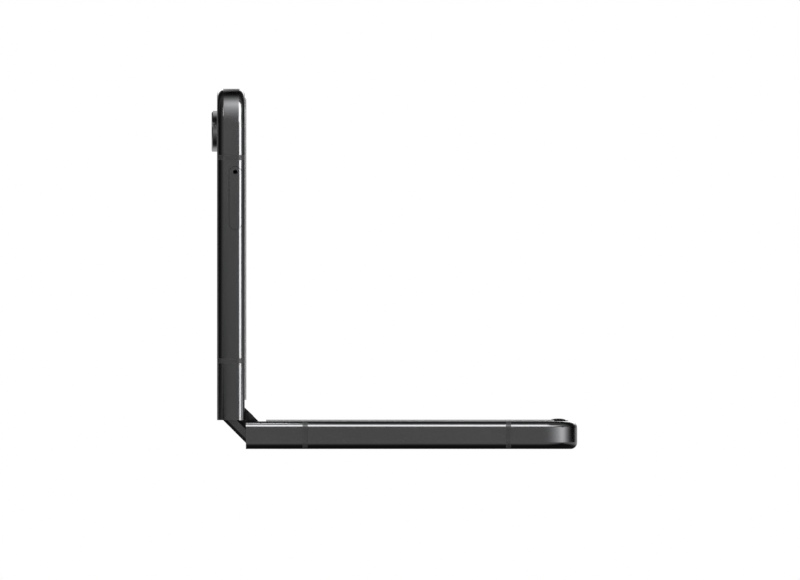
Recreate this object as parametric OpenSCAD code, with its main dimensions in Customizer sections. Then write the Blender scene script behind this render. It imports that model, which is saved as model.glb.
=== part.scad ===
// Foldable smartphone with two fold axes, standing half open.
// The lower half lies on its back, the origin is the centre of its resting face, +Z is up,
// +X runs from the hinge to the free end, and the keys are on the +Y side.
// Every half is drawn flat first: u runs from the seam to its free end, z from its back.

/* [Halves] */
// Length of each half, from the seam to its free end
half_len = 82.5; // [76:0.5:90]
// Width across the phone
body_w = 71.9; // [68:0.1:80]
// Thickness of one half, without its rim
body_t = 6.9; // [6.7:0.1:7.6]
// Plan radius of the free corners
corner_r = 8.5; // [6:0.5:12]
// Radius along the edges of the frame
edge_r = 1.65; // [1.2:0.05:1.9]
// Gap between the halves when flat
seam = 0.1; // [0.06:0.02:0.3]
// Thickness of the frame's side wall beside the hinge
wall = 2; // [1.9:0.1:2.2]
// Thickness of the frame's wall round the battery and boards
inner_wall = 2.6; // [2.3:0.1:3.2]
// Thickness of the back glass
glass_t = 0.65; // [0.5:0.05:0.8]
// Width of metal left round the back glass
glass_border = 1.75; // [1.6:0.05:2.2]
// Thickness of the plate under the display
web_t = 0.6; // [0.4:0.1:0.8]

/* [Display] */
// Thickness of the folding display
display_t = 0.55; // [0.45:0.05:0.6]
// Width of metal left round the display
display_border = 2.7; // [2.4:0.1:3.2]
// Length of each half of the display that bends, from the seam
bend_len = 3.6; // [3.2:0.1:4.2]
// Width of the raised rim
rim_w = 2; // [1.6:0.1:2.6]
// Height of the raised rim
rim_h = 0.4; // [0.2:0.05:0.4]
// Distance from the frame's side to the rim
rim_inset = 2.2; // [1.9:0.1:2.3]
// Distance from the seam to the rim's end
rim_start = 5.1; // [4.6:0.1:6]
// Height of the rubber stops above the rim
stop_h = 0.28; // [0.1:0.02:0.28]
// Angle of the rim's corner that a rubber stop takes
stop_turn = 46; // [30:2:60]

/* [Hinge] */
// Distance between the two fold axes
axis_gap = 1.1; // [1.1:0.05:1.3]
// Turn of each half about its axis, from flat
fold = 45; // [0:5:90]
// Radius of the spine's rounded sides about the fold axes
spine_r = 5.45; // [5.4:0.05:5.6]
// Depth of the spine's flat face below the fold axes
spine_depth = 4.17; // [4.1:0.01:4.3]
// Thickness of the spine's shell
spine_wall = 0.7; // [0.5:0.05:0.75]
// Distance of each hinge from the middle
hinge_y = 21; // [18:0.5:23]
// Greatest dip of the support wings
wing_tilt = 10; // [8:1:11]

/* [Side parts] */
// Distance from the seam to each half's inner antenna gap
strip_near = 14.8; // [13.5:0.1:17]
// Distance from the free end to each half's outer antenna gap
strip_far = 17.1; // [15.5:0.1:18]
// Width of the antenna gaps
strip_w = 1.3; // [0.8:0.1:1.6]
// Length of the card tray's face
tray_len = 15.7; // [15:0.1:16]
// Height of the card tray's face
tray_h = 3; // [2.6:0.1:3.2]
// Distance from the free end to the middle of the card tray
tray_end = 27.2; // [26.5:0.1:28]
// Diameter of the tray's eject hole
eject_d = 1.2; // [0.9:0.1:1.3]
// Length of the volume key
volume_len = 19; // [16:0.5:20]
// Distance from the free end to the middle of the volume key
volume_end = 30.5; // [29.5:0.5:32.5]
// Length of the power key
power_len = 13; // [10:0.5:14]
// Distance from the free end to the middle of the power key
power_end = 52.5; // [50.5:0.5:54.5]
// Height of the keys across the side
key_h = 2.4; // [2:0.1:2.8]
// How far the keys stand out
key_out = 0.4; // [0.3:0.05:0.5]

/* [Cameras] */
// Outer diameter of each camera ring
camera_d = 10.2; // [9:0.1:10.5]
// How far the camera rings stand out of the back
camera_out = 1.35; // [0.8:0.05:1.6]
// Distance from the camera centres to the free end
camera_end = 10.6; // [10:0.1:11]
// Distance from the outer camera to the side
camera_side = 11.2; // [10.5:0.1:12]
// Distance between the cameras
camera_pitch = 13; // [12:0.1:14]

/* [Hidden] */
$fn = 64;
a = axis_gap / 2;
half_w = body_w / 2;
slack = 0.1;
glue = 0.05;
run_gap = 0.15;
side_gap = 0.15;
floor_q = display_t + glue;
web_q = floor_q + web_t;
seat_z = glass_t + glue;
cavity_r = spine_r + run_gap;
spine_len = body_w - 2 * (wall + side_gap);
spine_top = 1;
cap_top = 1.8;
beam_u = a + cavity_r + 0.05;
beam_end = beam_u + 4.4;
wing_u = beam_u + 0.4;
wing_t = 0.23;
wing_top = floor_q + 0.02;
wing_in = 1.2;
wing_q = wing_top + wing_t / 2;
module_len = 14.4;
rail_in = 2.45;
rail_out = 3.15;
rail_w = 2.2;
rail_y = 4.8;
rail_end = 150;
plate_t = 0.45;
plate_end = beam_end - 0.3;
screw_u = beam_end - 1.7;
screw_pitch = 2;
screw_d = 0.76;
screw_len = 2.6;
gear_teeth = 10;
gear_module = 0.2;
gear_r = gear_module * gear_teeth / 2;
gear_q = 2.1;
gear_w = 1.6;
gear_tip = gear_r + 0.85 * gear_module;
gear_root = gear_r - 1.25 * gear_module;
arm_w = 1.4;
arm_t = 0.45;
arm_q = 1.05;
arm_tip = beam_u + 2;
shaft_r = 0.35;
bay_w = 6.2;
base_top = spine_top + 0.05;
strip_reach = 3.15;
strip_top = 1.93;
tray_u = half_len - tray_end;
tray_q = 2.37;
tray_deep = 24;
tray_t = 0.9;
card_w = 8.8;
card_rest = 0.8;
reader_under = 0.75;
reader_over = 0.95;
reader_t = 0.2;
key_z = body_t / 2;
volume_u = half_len - volume_end;
power_u = half_len - power_end;
pocket_len = half_len - inner_wall;
pocket_h = body_t - web_q - seat_z;
display_w = body_w - 2 * (display_border + slack);
rim_end = half_len - rim_inset;
fold_w = body_w - 2 * (rim_inset + rim_w + slack);
camera_u = half_len - camera_end;
camera_y = [half_w - camera_side, half_w - camera_side - camera_pitch];
ring_w = 1;
ring_edge = 0.3;
lens_t = 0.7;
flash_d = 3;
flash_y = camera_y[1] - camera_d / 2 - 4.5;
selfie_d = 3.4;
selfie_u = half_len - 7;
usb_w = 8.34;
usb_h = 2.56;
usb_wall = 0.3;
usb_deep = 7.4;
tongue_t = 0.7;
hole_d = 1.2;
hole_pitch = 2.3;
hole_count = 6;
mic_d = 0.9;
mic_y = 9;
board_t = 0.8;
board_gap = 0.3;
cell_gap = 1;
cell_lift = 0.2;
cover_t = 1;
lower_cell_end = 0.7 * half_len;
lower_board_u = lower_cell_end + 2;
lower_board_z = key_z - usb_h / 2 - usb_wall;
speaker_y = 9.5;
motor_len = 14;
motor_w = 16;
upper_cell_end = tray_u - tray_len / 2 - 2;
cell_r = 2;
main_board_u = upper_cell_end + 1.5;
main_board_z = body_t - tray_q - reader_under - 0.1;
shield_len = 15.5;
shield_h = 1;
flex_w = 12;
flex_t = 0.15;
flex_q = 1.15;
flex_dip = 1.45;
flex_bend = 6;
metal = [0.27, 0.27, 0.28];
dark = [0.06, 0.06, 0.065];
steel = [0.6, 0.6, 0.61];

// Places: a half or the spine, drawn flat, goes where the fold puts it.
module at_lower() {
    translate([-half_len / 2, 0, 0]) children();
}

module turn_about(x) {
    translate([x, 0, body_t]) rotate([0, fold, 0]) translate([-x, 0, -body_t]) children();
}

module at_spine() {
    at_lower() turn_about(a) translate([0, 0, body_t]) children();
}

module at_upper() {
    at_lower() turn_about(a) turn_about(-a) mirror([1, 0, 0]) children();
}

// A profile drawn in x and z, extruded along y about the middle
module across(w) {
    rotate([90, 0, 0]) linear_extrude(w, center = true) children();
}

module both_sides() {
    children();
    mirror([0, 1, 0]) children();
}

// The part of a rounded section that lies between the middle and its edge
module edge_section(reach, t, r) {
    square([reach - r, t]);
    translate([reach - r - 0.01, r]) square([r + 0.01, t - 2 * r]);
    for (z = [r, t - r])
        translate([reach - r, z]) circle(r);
}

// A plate with rounded edges and rounded corners at its free end
module slab(l, w, t, rc, re) {
    rotate([90, 0, 90])
        linear_extrude(l - rc) {
            edge_section(w / 2, t, re);
            mirror([1, 0]) edge_section(w / 2, t, re);
        }
    translate([l - rc, 0, 0]) across(w - 2 * rc) edge_section(rc, t, re);
    both_sides()
        translate([l - rc, w / 2 - rc, 0]) rotate_extrude(angle = 90) edge_section(rc, t, re);
}

// A flat plan from u0 to u1 with rounded corners at the far end, and r0 at the near end
module plan(u0, u1, w, r, r0 = 0) {
    translate([u0 + r0, -w / 2]) square([u1 - r - u0 - r0, w]);
    translate([u1 - r - 0.01, r - w / 2]) square([r + 0.01, w - 2 * r]);
    if (r0 > 0)
        translate([u0, r0 - w / 2]) square([r0 + 0.01, w - 2 * r0]);
    for (s = [-1, 1]) {
        translate([u1 - r, s * (w / 2 - r)]) circle(r);
        if (r0 > 0)
            translate([u0 + r0, s * (w / 2 - r0)]) circle(r0);
    }
}

module stadium(l, h) {
    square([l - h, h], center = true);
    for (s = [-1, 1])
        translate([s * (l - h) / 2, 0]) circle(h / 2);
}

// A stadium-shaped bar through a side, along y
module side_bar(u, z, l, h, y0, y1) {
    translate([u, y1, z]) rotate([90, 0, 0]) linear_extrude(y1 - y0) stadium(l, h);
}

// A box from one corner to the other, with its upright edges rounded
module pack(u, y, z, r) {
    translate([0, 0, z[0]])
        linear_extrude(z[1] - z[0]) {
            translate([u[0] + r, y[0]]) square([u[1] - u[0] - 2 * r, y[1] - y[0]]);
            translate([u[0], y[0] + r]) square([u[1] - u[0], y[1] - y[0] - 2 * r]);
            for (x = [u[0] + r, u[1] - r])
                for (v = [y[0] + r, y[1] - r])
                    translate([x, v]) circle(r);
        }
}

module outer_slab() {
    slab(half_len, body_w, body_t, corner_r, edge_r);
}

// Both hinges, each drawn about y = 0
module each_hinge() {
    for (s = [-1, 1])
        translate([0, s * hinge_y, 0]) children();
}

// Frame of a half: ring, plate under the display, beam behind the hinge and back seat
module half_frame(rail_side) {
    difference() {
        intersection() {
            outer_slab();
            translate([seam / 2, -half_w, 0]) cube([half_len, body_w, body_t]);
        }
        translate([0, 0, body_t - floor_q])
            linear_extrude(floor_q + 1)
                plan(-1, half_len - display_border, body_w - 2 * display_border, corner_r - display_border);
        translate([0, 0, -1])
            linear_extrude(seat_z + 1)
                plan(glass_border - slack, half_len - glass_border + slack,
                    body_w - 2 * (glass_border - slack), corner_r - glass_border + slack, 0.8);
        translate([0, 0, seat_z - 0.01])
            linear_extrude(pocket_h + 0.01)
                plan(beam_end, pocket_len, body_w - 2 * inner_wall, corner_r - inner_wall, 1);
        translate([a, 0, body_t]) rotate([90, 0, 0])
            cylinder(r = cavity_r, h = body_w - 2 * wall, center = true);
        translate([-1, wall - half_w, body_t - wing_top - wing_t - slack])
            cube([wing_u + 1.4, body_w - 2 * wall, 2]);
        each_hinge() {
            translate([2, rail_side * rail_y - rail_w / 2 - slack, body_t - floor_q - plate_t])
                cube([plate_end - 2 + slack, rail_w + 2 * slack, 2]);
            translate([2, rail_side * rail_y - rail_w / 2 - slack, body_t - floor_q - plate_t - 0.3])
                cube([wing_u - 1.7, rail_w + 2 * slack, 2]);
            translate([2, -arm_w / 2 - run_gap, body_t - 2.8]) cube([beam_end, arm_w + 2 * run_gap, 1.9]);
            for (x = [screw_u, screw_u - screw_pitch])
                translate([x, rail_side * rail_y, body_t - 4]) cylinder(d = screw_d + 0.04, h = 4);
        }
        translate([2, -flex_w / 2 - slack, body_t - 1.6]) cube([beam_end, flex_w + 2 * slack, 0.65]);
    }
}

// A round hole through the wall at the free end
module end_hole(y, d) {
    translate([half_len - inner_wall - 1, y, key_z]) rotate([0, 90, 0]) cylinder(d = d, h = inner_wall + 2);
}

// Plastic inserts in the side walls, drawn as the piece of the ring that they take
module side_strips() {
    for (u = [strip_near, half_len - strip_far])
        both_sides()
            intersection() {
                outer_slab();
                translate([u - strip_w / 2, half_w - 1, 0]) cube([strip_w, 2, body_t]);
            }
}

module back_pane() {
    linear_extrude(glass_t)
        plan(glass_border, half_len - glass_border,
            body_w - 2 * glass_border, corner_r - glass_border, 0.7);
}

module display_panel() {
    translate([0, 0, body_t - display_t])
        linear_extrude(display_t)
            plan(bend_len + 0.02, half_len - display_border - slack,
                display_w, corner_r - display_border - slack);
}

module rim_ring() {
    translate([0, 0, body_t])
        linear_extrude(rim_h)
            difference() {
                plan(rim_start, rim_end, body_w - 2 * rim_inset, corner_r - rim_inset);
                plan(0, rim_end - rim_w, body_w - 2 * (rim_inset + rim_w), corner_r - rim_inset - rim_w);
            }
}

// Height of the plates under the bent display at a distance from the seam, when they dip most
function dip_q(u) = wing_top + max(wing_u - u, 0) * tan(wing_tilt);

// Rotor: an arc rail about the fold axis and the plate that carries the half
module rotor() {
    across(rail_w)
        intersection() {
            union() {
                difference() {
                    translate([a, 0]) circle(rail_out);
                    translate([a, 0]) circle(rail_in);
                }
                polygon([
                    [2.3, 0], [plate_end + 1, 0], [plate_end + 1, -floor_q - plate_t],
                    [wing_u + 0.4, -floor_q - plate_t], [wing_u - 0.2, -wing_top - plate_t],
                    [3.1, -dip_q(3.1) - plate_t], [2.3, -2.1]
                ]);
            }
            polygon([
                [a, -dip_q(a)], [wing_u, -wing_top], [wing_u + 0.4, -floor_q], [plate_end, -floor_q],
                [plate_end, -spine_r], [-spine_r, -spine_r], [a + 8 * cos(rail_end), -8 * sin(rail_end)],
                [a + cos(rail_end), -sin(rail_end)]
            ]);
        }
}

module half_rotors(rail_side) {
    each_hinge()
        translate([0, rail_side * rail_y, body_t])
            difference() {
                rotor();
                for (x = [screw_u, screw_u - screw_pitch])
                    translate([x, 0, -2]) cylinder(d = screw_d + 0.14, h = 3);
            }
}

module rotor_screws(rail_side) {
    each_hinge()
        for (x = [screw_u, screw_u - screw_pitch])
            translate([x, rail_side * rail_y, body_t - floor_q - screw_len])
                cylinder(d = screw_d, h = screw_len);
}

// Shape between the fold axes' rounded sides and a flat face, drawn in p and z
module spine_section(r, depth, top) {
    intersection() {
        union() {
            for (x = [-a, a])
                translate([x, 0]) circle(r);
            translate([-a, -r]) square([2 * a, r]);
        }
        translate([-a - r, -depth]) square([2 * (a + r), depth - top]);
    }
}

module spine_shell() {
    difference() {
        across(spine_len) spine_section(spine_r, spine_depth, spine_top);
        across(spine_len + 2) spine_section(spine_r - spine_wall, spine_depth - spine_wall, -1);
        each_hinge() {
            for (s = [-1, 1])
                translate([s > 0 ? 2 : -8, -s * rail_y - rail_w / 2 - slack, -1.4])
                    cube([6, rail_w + 2 * slack, 2]);
            translate([-8, -arm_w / 2 - slack, -arm_q - arm_t - run_gap]) cube([16, arm_w + 2 * slack, 2]);
        }
        translate([-8, -flex_w / 2 - slack, -1.5]) cube([16, flex_w + 2 * slack, 2]);
    }
}

module end_caps() {
    both_sides()
        translate([0, spine_len / 2 - 0.6, 0])
            across(1.2) spine_section(spine_r - spine_wall - 0.02, spine_depth - spine_wall - 0.02, cap_top);
}

// Base of a hinge: two grooved guides for the rails and a bay for the timing gears
module hinge_base() {
    inner = spine_depth - spine_wall - glue;
    difference() {
        across(module_len) spine_section(spine_r - spine_wall - glue, inner, base_top);
        translate([-8, -bay_w / 2, 0.1 - inner]) cube([16, bay_w, 4]);
        for (s = [-1, 1])
            translate([0, -s * rail_y, 0]) {
                across(rail_w + 2 * slack)
                    difference() {
                        translate([s * a, 0]) circle(rail_out + slack);
                        translate([s * a, 0]) circle(rail_in - slack);
                    }
                translate([s > 0 ? 2.2 : -8.2, -rail_w / 2 - slack, -2.35])
                    cube([6, rail_w + 2 * slack, 3]);
            }
        for (p = gear_places)
            translate([p, 0, -gear_q]) rotate([90, 0, 0])
                cylinder(r = shaft_r, h = bay_w + 0.8, center = true);
    }
}

gear_places = [for (k = [-3:2:3]) k * gear_r];

// Timing gear: straight-flanked teeth on a hub, drawn in p and z
module gear(turn) {
    step = 360 / gear_teeth;
    rotate([0, turn, 0])
        across(gear_w)
            difference() {
                union() {
                    circle(gear_root);
                    for (k = [0:gear_teeth - 1])
                        rotate(k * step)
                            polygon([
                                [0, -gear_module], [gear_root, -0.75 * gear_module],
                                [gear_tip, -0.3 * gear_module], [gear_tip, 0.3 * gear_module],
                                [gear_root, 0.75 * gear_module], [0, gear_module]
                            ]);
                }
                circle(shaft_r + 0.05);
            }
}

// Place of gear number k, counted from the lower half, turned as the fold turns it
module gear_at(k, phase) {
    turn = (k % 2 == 0 ? -1 : 1) * fold;
    at_spine() each_hinge() translate([gear_places[3 - k], 0, -gear_q]) gear(phase + turn);
}

// Arm of an outer gear, cranked over the edge of the spine's shell, along +x
module gear_arm() {
    top = gear_q - arm_q;
    across(arm_w)
        difference() {
            polygon([
                [0.4, 0.6], [1.5, top - 0.05], [1.9, top], [arm_tip, top],
                [arm_tip, top - arm_t], [2.1, top - arm_t], [0.9, -0.1], [0.55, -0.3]
            ]);
            circle(shaft_r + 0.05);
        }
}

module lower_arm_set() {
    gear_at(0, 0);
    at_spine() each_hinge() translate([gear_places[3], 0, -gear_q]) rotate([0, -fold, 0]) gear_arm();
}

module upper_arm_set() {
    gear_at(3, 18);
    at_spine() each_hinge()
        translate([gear_places[0], 0, -gear_q]) rotate([0, fold, 0]) mirror([1, 0, 0]) gear_arm();
}

// Display between the halves: each point turns about its fold axis by its share of the fold
function smooth(t) = t * t * (3 - 2 * t);
function share(s, reach) = smooth(min(max(s / reach, 0), 1));
function bent(s, q, reach) =
    let (turn = fold * share(s, reach), x = s - a, z = -q)
    [a + x * cos(turn) - z * sin(turn), x * sin(turn) + z * cos(turn)];
function mirrored(points) = [for (k = [len(points) - 1:-1:0]) [-points[k][0], points[k][1]]];
function bent_line(reach, end, steps, depth) =
    [for (k = [0:steps])
        let (s = end * k / steps, q = depth[0] + (depth[1] - depth[0]) * share(s, depth[2]))
            bent(s, q, reach)];

// A folded sheet between two depths, mirrored about the middle of the spine
module bent_sheet(w, reach, end, steps, top, under) {
    upper_side = bent_line(reach, end, steps, top);
    lower_side = bent_line(reach, end, steps, under);
    across(w)
        polygon(concat(mirrored(upper_side), upper_side, [for (k = [steps:-1:0]) lower_side[k]],
            [for (k = [0:steps]) [-lower_side[k][0], lower_side[k][1]]]));
}

module fold_sheet() {
    bent_sheet(fold_w, bend_len, bend_len, 14, [0, 0, 1], [display_t, display_t, 1]);
}

// Flexible strip that closes the corner beside the display: a crowned top over two legs that lie
// along the halves, and a foot that stands on the spine's end cap
module edge_strip() {
    crown = 9;
    leg = bent(strip_reach, -0.03, 0.5);
    neck = a - 0.03;
    side = [leg, [neck, 0], [neck, -0.3], [cap_top, 0.4 - cap_top], [cap_top, -cap_top]];
    across(rim_w)
        intersection() {
            translate([0, strip_top - crown]) circle(crown);
            polygon(concat(side, mirrored(side), [[-leg[0], strip_top], [leg[0], strip_top]]));
        }
}

// A cell from behind the hinge to a distance from the seam, and from a height up to the display's plate
module cell(end, z) {
    side = half_w - inner_wall - cell_gap;
    pack([beam_end + cell_gap, end], [-side, side], [z, body_t - web_q - cell_lift], cell_r);
}

module lower_frame() {
    color(metal) at_lower() difference() {
        half_frame(-1);
        side_strips();
        translate([half_len - 9, 0, key_z]) rotate([90, 0, 90])
            linear_extrude(10) stadium(usb_w + 2 * usb_wall, usb_h + 2 * usb_wall);
        for (k = [0:hole_count - 1])
            end_hole(speaker_y + 1.5 + hole_pitch * k, hole_d);
        end_hole(-mic_y, mic_d);
    }
}

module lower_antenna_strips() {
    color([0.2, 0.2, 0.2]) at_lower() side_strips();
}

module lower_back_glass() {
    color([0.1, 0.1, 0.11]) at_lower() back_pane();
}

module lower_display() {
    color(dark) at_lower() display_panel();
}

module lower_rim() {
    color([0.5, 0.5, 0.5]) at_lower() rim_ring();
}

// Low domes on the rim's corners at the free end
module rubber_stops() {
    corner = corner_r - rim_inset - rim_w / 2;
    reach = corner * sin(stop_turn / 2) + rim_w * 0.4;
    ball = (reach * reach + stop_h * stop_h) / (2 * stop_h);
    color(dark) at_lower() both_sides()
        translate([half_len - corner_r, half_w - corner_r, body_t + rim_h])
            intersection() {
                rotate([0, 0, 45 - stop_turn / 2]) rotate_extrude(angle = stop_turn)
                    translate([corner - rim_w * 0.35, 0]) square([rim_w * 0.7, stop_h + 1]);
                translate([corner * sqrt(0.5), corner * sqrt(0.5), stop_h - ball]) sphere(ball, $fn = 200);
            }
}

module lower_battery() {
    color([0.35, 0.35, 0.36]) at_lower()
        cell(lower_cell_end, seat_z + cell_lift);
}

module lower_board() {
    color([0.05, 0.2, 0.1]) at_lower()
        translate([0, 0, lower_board_z - board_t])
            linear_extrude(board_t)
                plan(lower_board_u, pocket_len - board_gap, body_w - 2 * (inner_wall + board_gap),
                    corner_r - inner_wall - board_gap, 1);
}

module usb_shell() {
    color(steel) at_lower() translate([half_len - 0.35 - usb_deep, 0, key_z]) rotate([90, 0, 90])
        difference() {
            linear_extrude(usb_deep) stadium(usb_w + 2 * usb_wall, usb_h + 2 * usb_wall);
            translate([0, 0, 0.4]) linear_extrude(usb_deep) stadium(usb_w, usb_h);
        }
}

module usb_tongue() {
    color(dark) at_lower()
        pack([half_len - usb_deep + 0.05, half_len - 1.2], [-0.4 * usb_w, 0.4 * usb_w],
            [key_z - tongue_t / 2, key_z + tongue_t / 2], tongue_t * 0.7);
}

module loudspeaker() {
    color(dark) at_lower()
        pack([lower_board_u + cell_gap, pocket_len - 0.5], [speaker_y, half_w - inner_wall - 1.5],
            [lower_board_z + slack, body_t - web_q - cell_lift], corner_r / 2);
}

module vibration_motor() {
    side = inner_wall + 3 - half_w;
    color(steel) at_lower()
        pack([lower_board_u + 2, lower_board_u + 2 + motor_len], [side, side + motor_w],
            [lower_board_z + slack, body_t - web_q - 0.7], 1);
}

module lower_rotors() {
    color(steel) at_lower() half_rotors(-1);
}

module lower_rotor_screws() {
    color(steel) at_lower() rotor_screws(-1);
}

module spine_cover() {
    color(metal) at_spine() spine_shell();
}

module spine_end_caps() {
    color(metal) at_spine() end_caps();
}

module hinge_bases() {
    color(steel) at_spine() each_hinge() hinge_base();
}

module hinge_shafts() {
    color(steel) at_spine() each_hinge()
        for (p = gear_places)
            translate([p, 0, -gear_q]) rotate([90, 0, 0])
                cylinder(r = shaft_r, h = bay_w + 0.8, center = true);
}

module hinge_springs() {
    color([0.7, 0.68, 0.6]) at_spine() each_hinge()
        for (p = gear_places)
            both_sides()
                translate([p, 0.9, -gear_q]) rotate([-90, 0, 0]) rotate_extrude()
                    for (k = [0:3])
                        translate([shaft_r, 0.5 * k]) square([0.55, 0.5 - 0.1 * (k % 2)]);
}

module edge_strips() {
    color(dark) at_spine() both_sides()
        translate([0, half_w - rim_inset - rim_w / 2, 0]) edge_strip();
}

module display_fold() {
    color(dark) at_spine() fold_sheet();
}

module hinge_flex() {
    color([0.5, 0.25, 0.1]) at_spine()
        bent_sheet(flex_w, flex_bend - 1, beam_end - 0.5, 20,
            [flex_q + flex_dip, flex_q, flex_bend],
            [flex_q + flex_dip + flex_t, flex_q + flex_t, flex_bend]);
}

module lower_gear_arms() {
    color(steel) lower_arm_set();
}

module lower_idlers() {
    color(steel) gear_at(1, 18);
}

module upper_idlers() {
    color(steel) gear_at(2, 0);
}

module upper_gear_arms() {
    color(steel) upper_arm_set();
}

// Support wings beside the hinges, dipping about their outer edge as the phone closes
module wing_set() {
    translate([wing_u, 0, body_t - wing_q]) rotate([0, -wing_tilt * fold / 90, 0])
        translate([-wing_u, 0, wing_q - body_t])
            for (y = [[-hinge_y + module_len / 2 + 0.3, hinge_y - module_len / 2 - 0.3],
                    [hinge_y + module_len / 2 + 0.3, half_w - wall - 0.3],
                    [wall + 0.3 - half_w, -hinge_y - module_len / 2 - 0.3]])
                translate([wing_in, y[0], body_t - wing_top - wing_t])
                    cube([wing_u + 0.3 - wing_in, y[1] - y[0], wing_t]);
}

module lower_wings() {
    color(steel) at_lower() wing_set();
}

module upper_wings() {
    color(steel) at_upper() wing_set();
}

module tray_cut(extra) {
    side_bar(tray_u, body_t - tray_q, tray_len + 2 * extra, tray_h + 2 * extra,
        -half_w - 1, inner_wall + 0.1 - half_w);
}

module key_cut(u, l) {
    side_bar(u, key_z, l + 2 * slack, key_h + 2 * slack, half_w - inner_wall - 0.1, half_w + 1);
}

module upper_frame() {
    color(metal) at_upper() difference() {
        half_frame(1);
        side_strips();
        tray_cut(0.08);
        key_cut(volume_u, volume_len);
        key_cut(power_u, power_len);
        for (y = [-mic_y - 3, 2 * mic_y + 2])
            end_hole(y, mic_d);
    }
}

module upper_antenna_strips() {
    color([0.2, 0.2, 0.2]) at_upper() side_strips();
}

module cover_glass() {
    color([0.05, 0.05, 0.06]) at_upper() difference() {
        back_pane();
        for (y = camera_y)
            translate([camera_u, y, -1]) cylinder(d = camera_d - ring_w + 2 * slack, h = 4);
        translate([camera_u, flash_y, -1]) cylinder(d = flash_d + 2 * slack, h = 4);
    }
}

module cover_display() {
    color([0.02, 0.02, 0.03]) at_upper() translate([0, 0, seat_z])
        linear_extrude(cover_t)
            difference() {
                plan(beam_end + board_gap, pocket_len - board_gap, body_w - 2 * (inner_wall + board_gap),
                    corner_r - inner_wall - board_gap, 1);
                translate([camera_u - camera_d / 2 - 1.5, flash_y - flash_d])
                    square([2 * camera_d, half_w]);
            }
}

module camera_rings() {
    color([0.55, 0.55, 0.56]) at_upper()
        for (y = camera_y)
            translate([camera_u, y, -camera_out]) rotate_extrude() {
                translate([camera_d / 2 - ring_w, ring_edge]) square([ring_w, camera_out - ring_edge]);
                translate([camera_d / 2 - ring_w, 0]) square([ring_w - ring_edge, camera_out]);
                translate([camera_d / 2 - ring_edge, ring_edge]) circle(ring_edge);
                translate([camera_d / 2 - ring_w, 0]) square([ring_w / 2, camera_out + seat_z + 0.4]);
            }
}

module camera_lenses() {
    color([0.02, 0.02, 0.04]) at_upper()
        for (y = camera_y)
            translate([camera_u, y, 0.25 - camera_out])
                cylinder(d = camera_d - 2 * ring_w - 0.04, h = lens_t);
}

module camera_modules() {
    color(dark) at_upper()
        for (y = camera_y) {
            translate([camera_u, y, lens_t + 0.3 - camera_out])
                cylinder(d = camera_d - 2 * ring_w - 0.6, h = camera_out + seat_z);
            pack([camera_u - camera_d / 2, min(camera_u + camera_d / 2 + 0.4, pocket_len - 0.2)],
                [y - camera_d / 2, y + camera_d / 2], [seat_z + 0.45, body_t - web_q - cell_lift], 0.8);
        }
}

module flash_lens() {
    color([0.9, 0.88, 0.75]) at_upper() translate([camera_u, flash_y, 0]) cylinder(d = flash_d, h = 1.2);
}

module upper_display() {
    color(dark) at_upper() difference() {
        display_panel();
        translate([selfie_u, 0, body_t - 2]) cylinder(d = selfie_d + 2 * slack, h = 4);
    }
}

module upper_rim() {
    color([0.5, 0.5, 0.5]) at_upper() difference() {
        rim_ring();
        translate([rim_end - rim_w / 2, 0, body_t + rim_h / 2]) cube([0.7, 11, rim_h + 0.1], center = true);
    }
}

module upper_battery() {
    color([0.35, 0.35, 0.36]) at_upper()
        cell(upper_cell_end, seat_z + cover_t + cell_lift);
}

module main_board() {
    color([0.05, 0.2, 0.1]) at_upper() difference() {
        translate([0, 0, main_board_z - board_t])
            linear_extrude(board_t)
                plan(main_board_u, pocket_len - board_gap, body_w - 2 * inner_wall - 3,
                    corner_r - inner_wall - 1.5, 1);
        translate([camera_u - camera_d / 2 - 0.5, camera_y[1] - camera_d / 2 - 0.5, 2])
            cube([2 * camera_d, half_w, 3]);
    }
}

module chip_shields() {
    low = main_board_z - board_t;
    color(steel) at_upper() for (y = [[-0.8 * half_w, -0.22 * half_w], [-0.14 * half_w, 0.22 * half_w]])
        pack([main_board_u + 1.5, main_board_u + 1.5 + shield_len], y, [low - shield_h, low], 0.6);
}

module upper_rotors() {
    color(steel) at_upper() half_rotors(1);
}

module upper_rotor_screws() {
    color(steel) at_upper() rotor_screws(1);
}

module earpiece() {
    color(dark) at_upper()
        pack([half_len - 7.4, pocket_len - 0.4], [-14, -6],
            [main_board_z + slack, body_t - web_q - cell_lift], 0.6);
}

module selfie_camera() {
    color([0.02, 0.02, 0.05]) at_upper() translate([selfie_u, 0, body_t - display_t])
        cylinder(d = selfie_d, h = display_t - 0.02);
}

// Sheet cage that guides the card tray, open towards the side
module card_reader() {
    color(steel) at_upper() translate([0, inner_wall + 0.4 - half_w, body_t - tray_q]) difference() {
        translate([tray_u - tray_len / 2 + 0.2, 0, -reader_under])
            cube([tray_len - 0.4, tray_deep - 1, reader_under + reader_over]);
        translate([tray_u - tray_len / 2 + 0.45, -1, reader_t - reader_under])
            cube([tray_len - 0.9, tray_deep - 0.3, reader_under + reader_over - 2 * reader_t]);
    }
}

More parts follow.
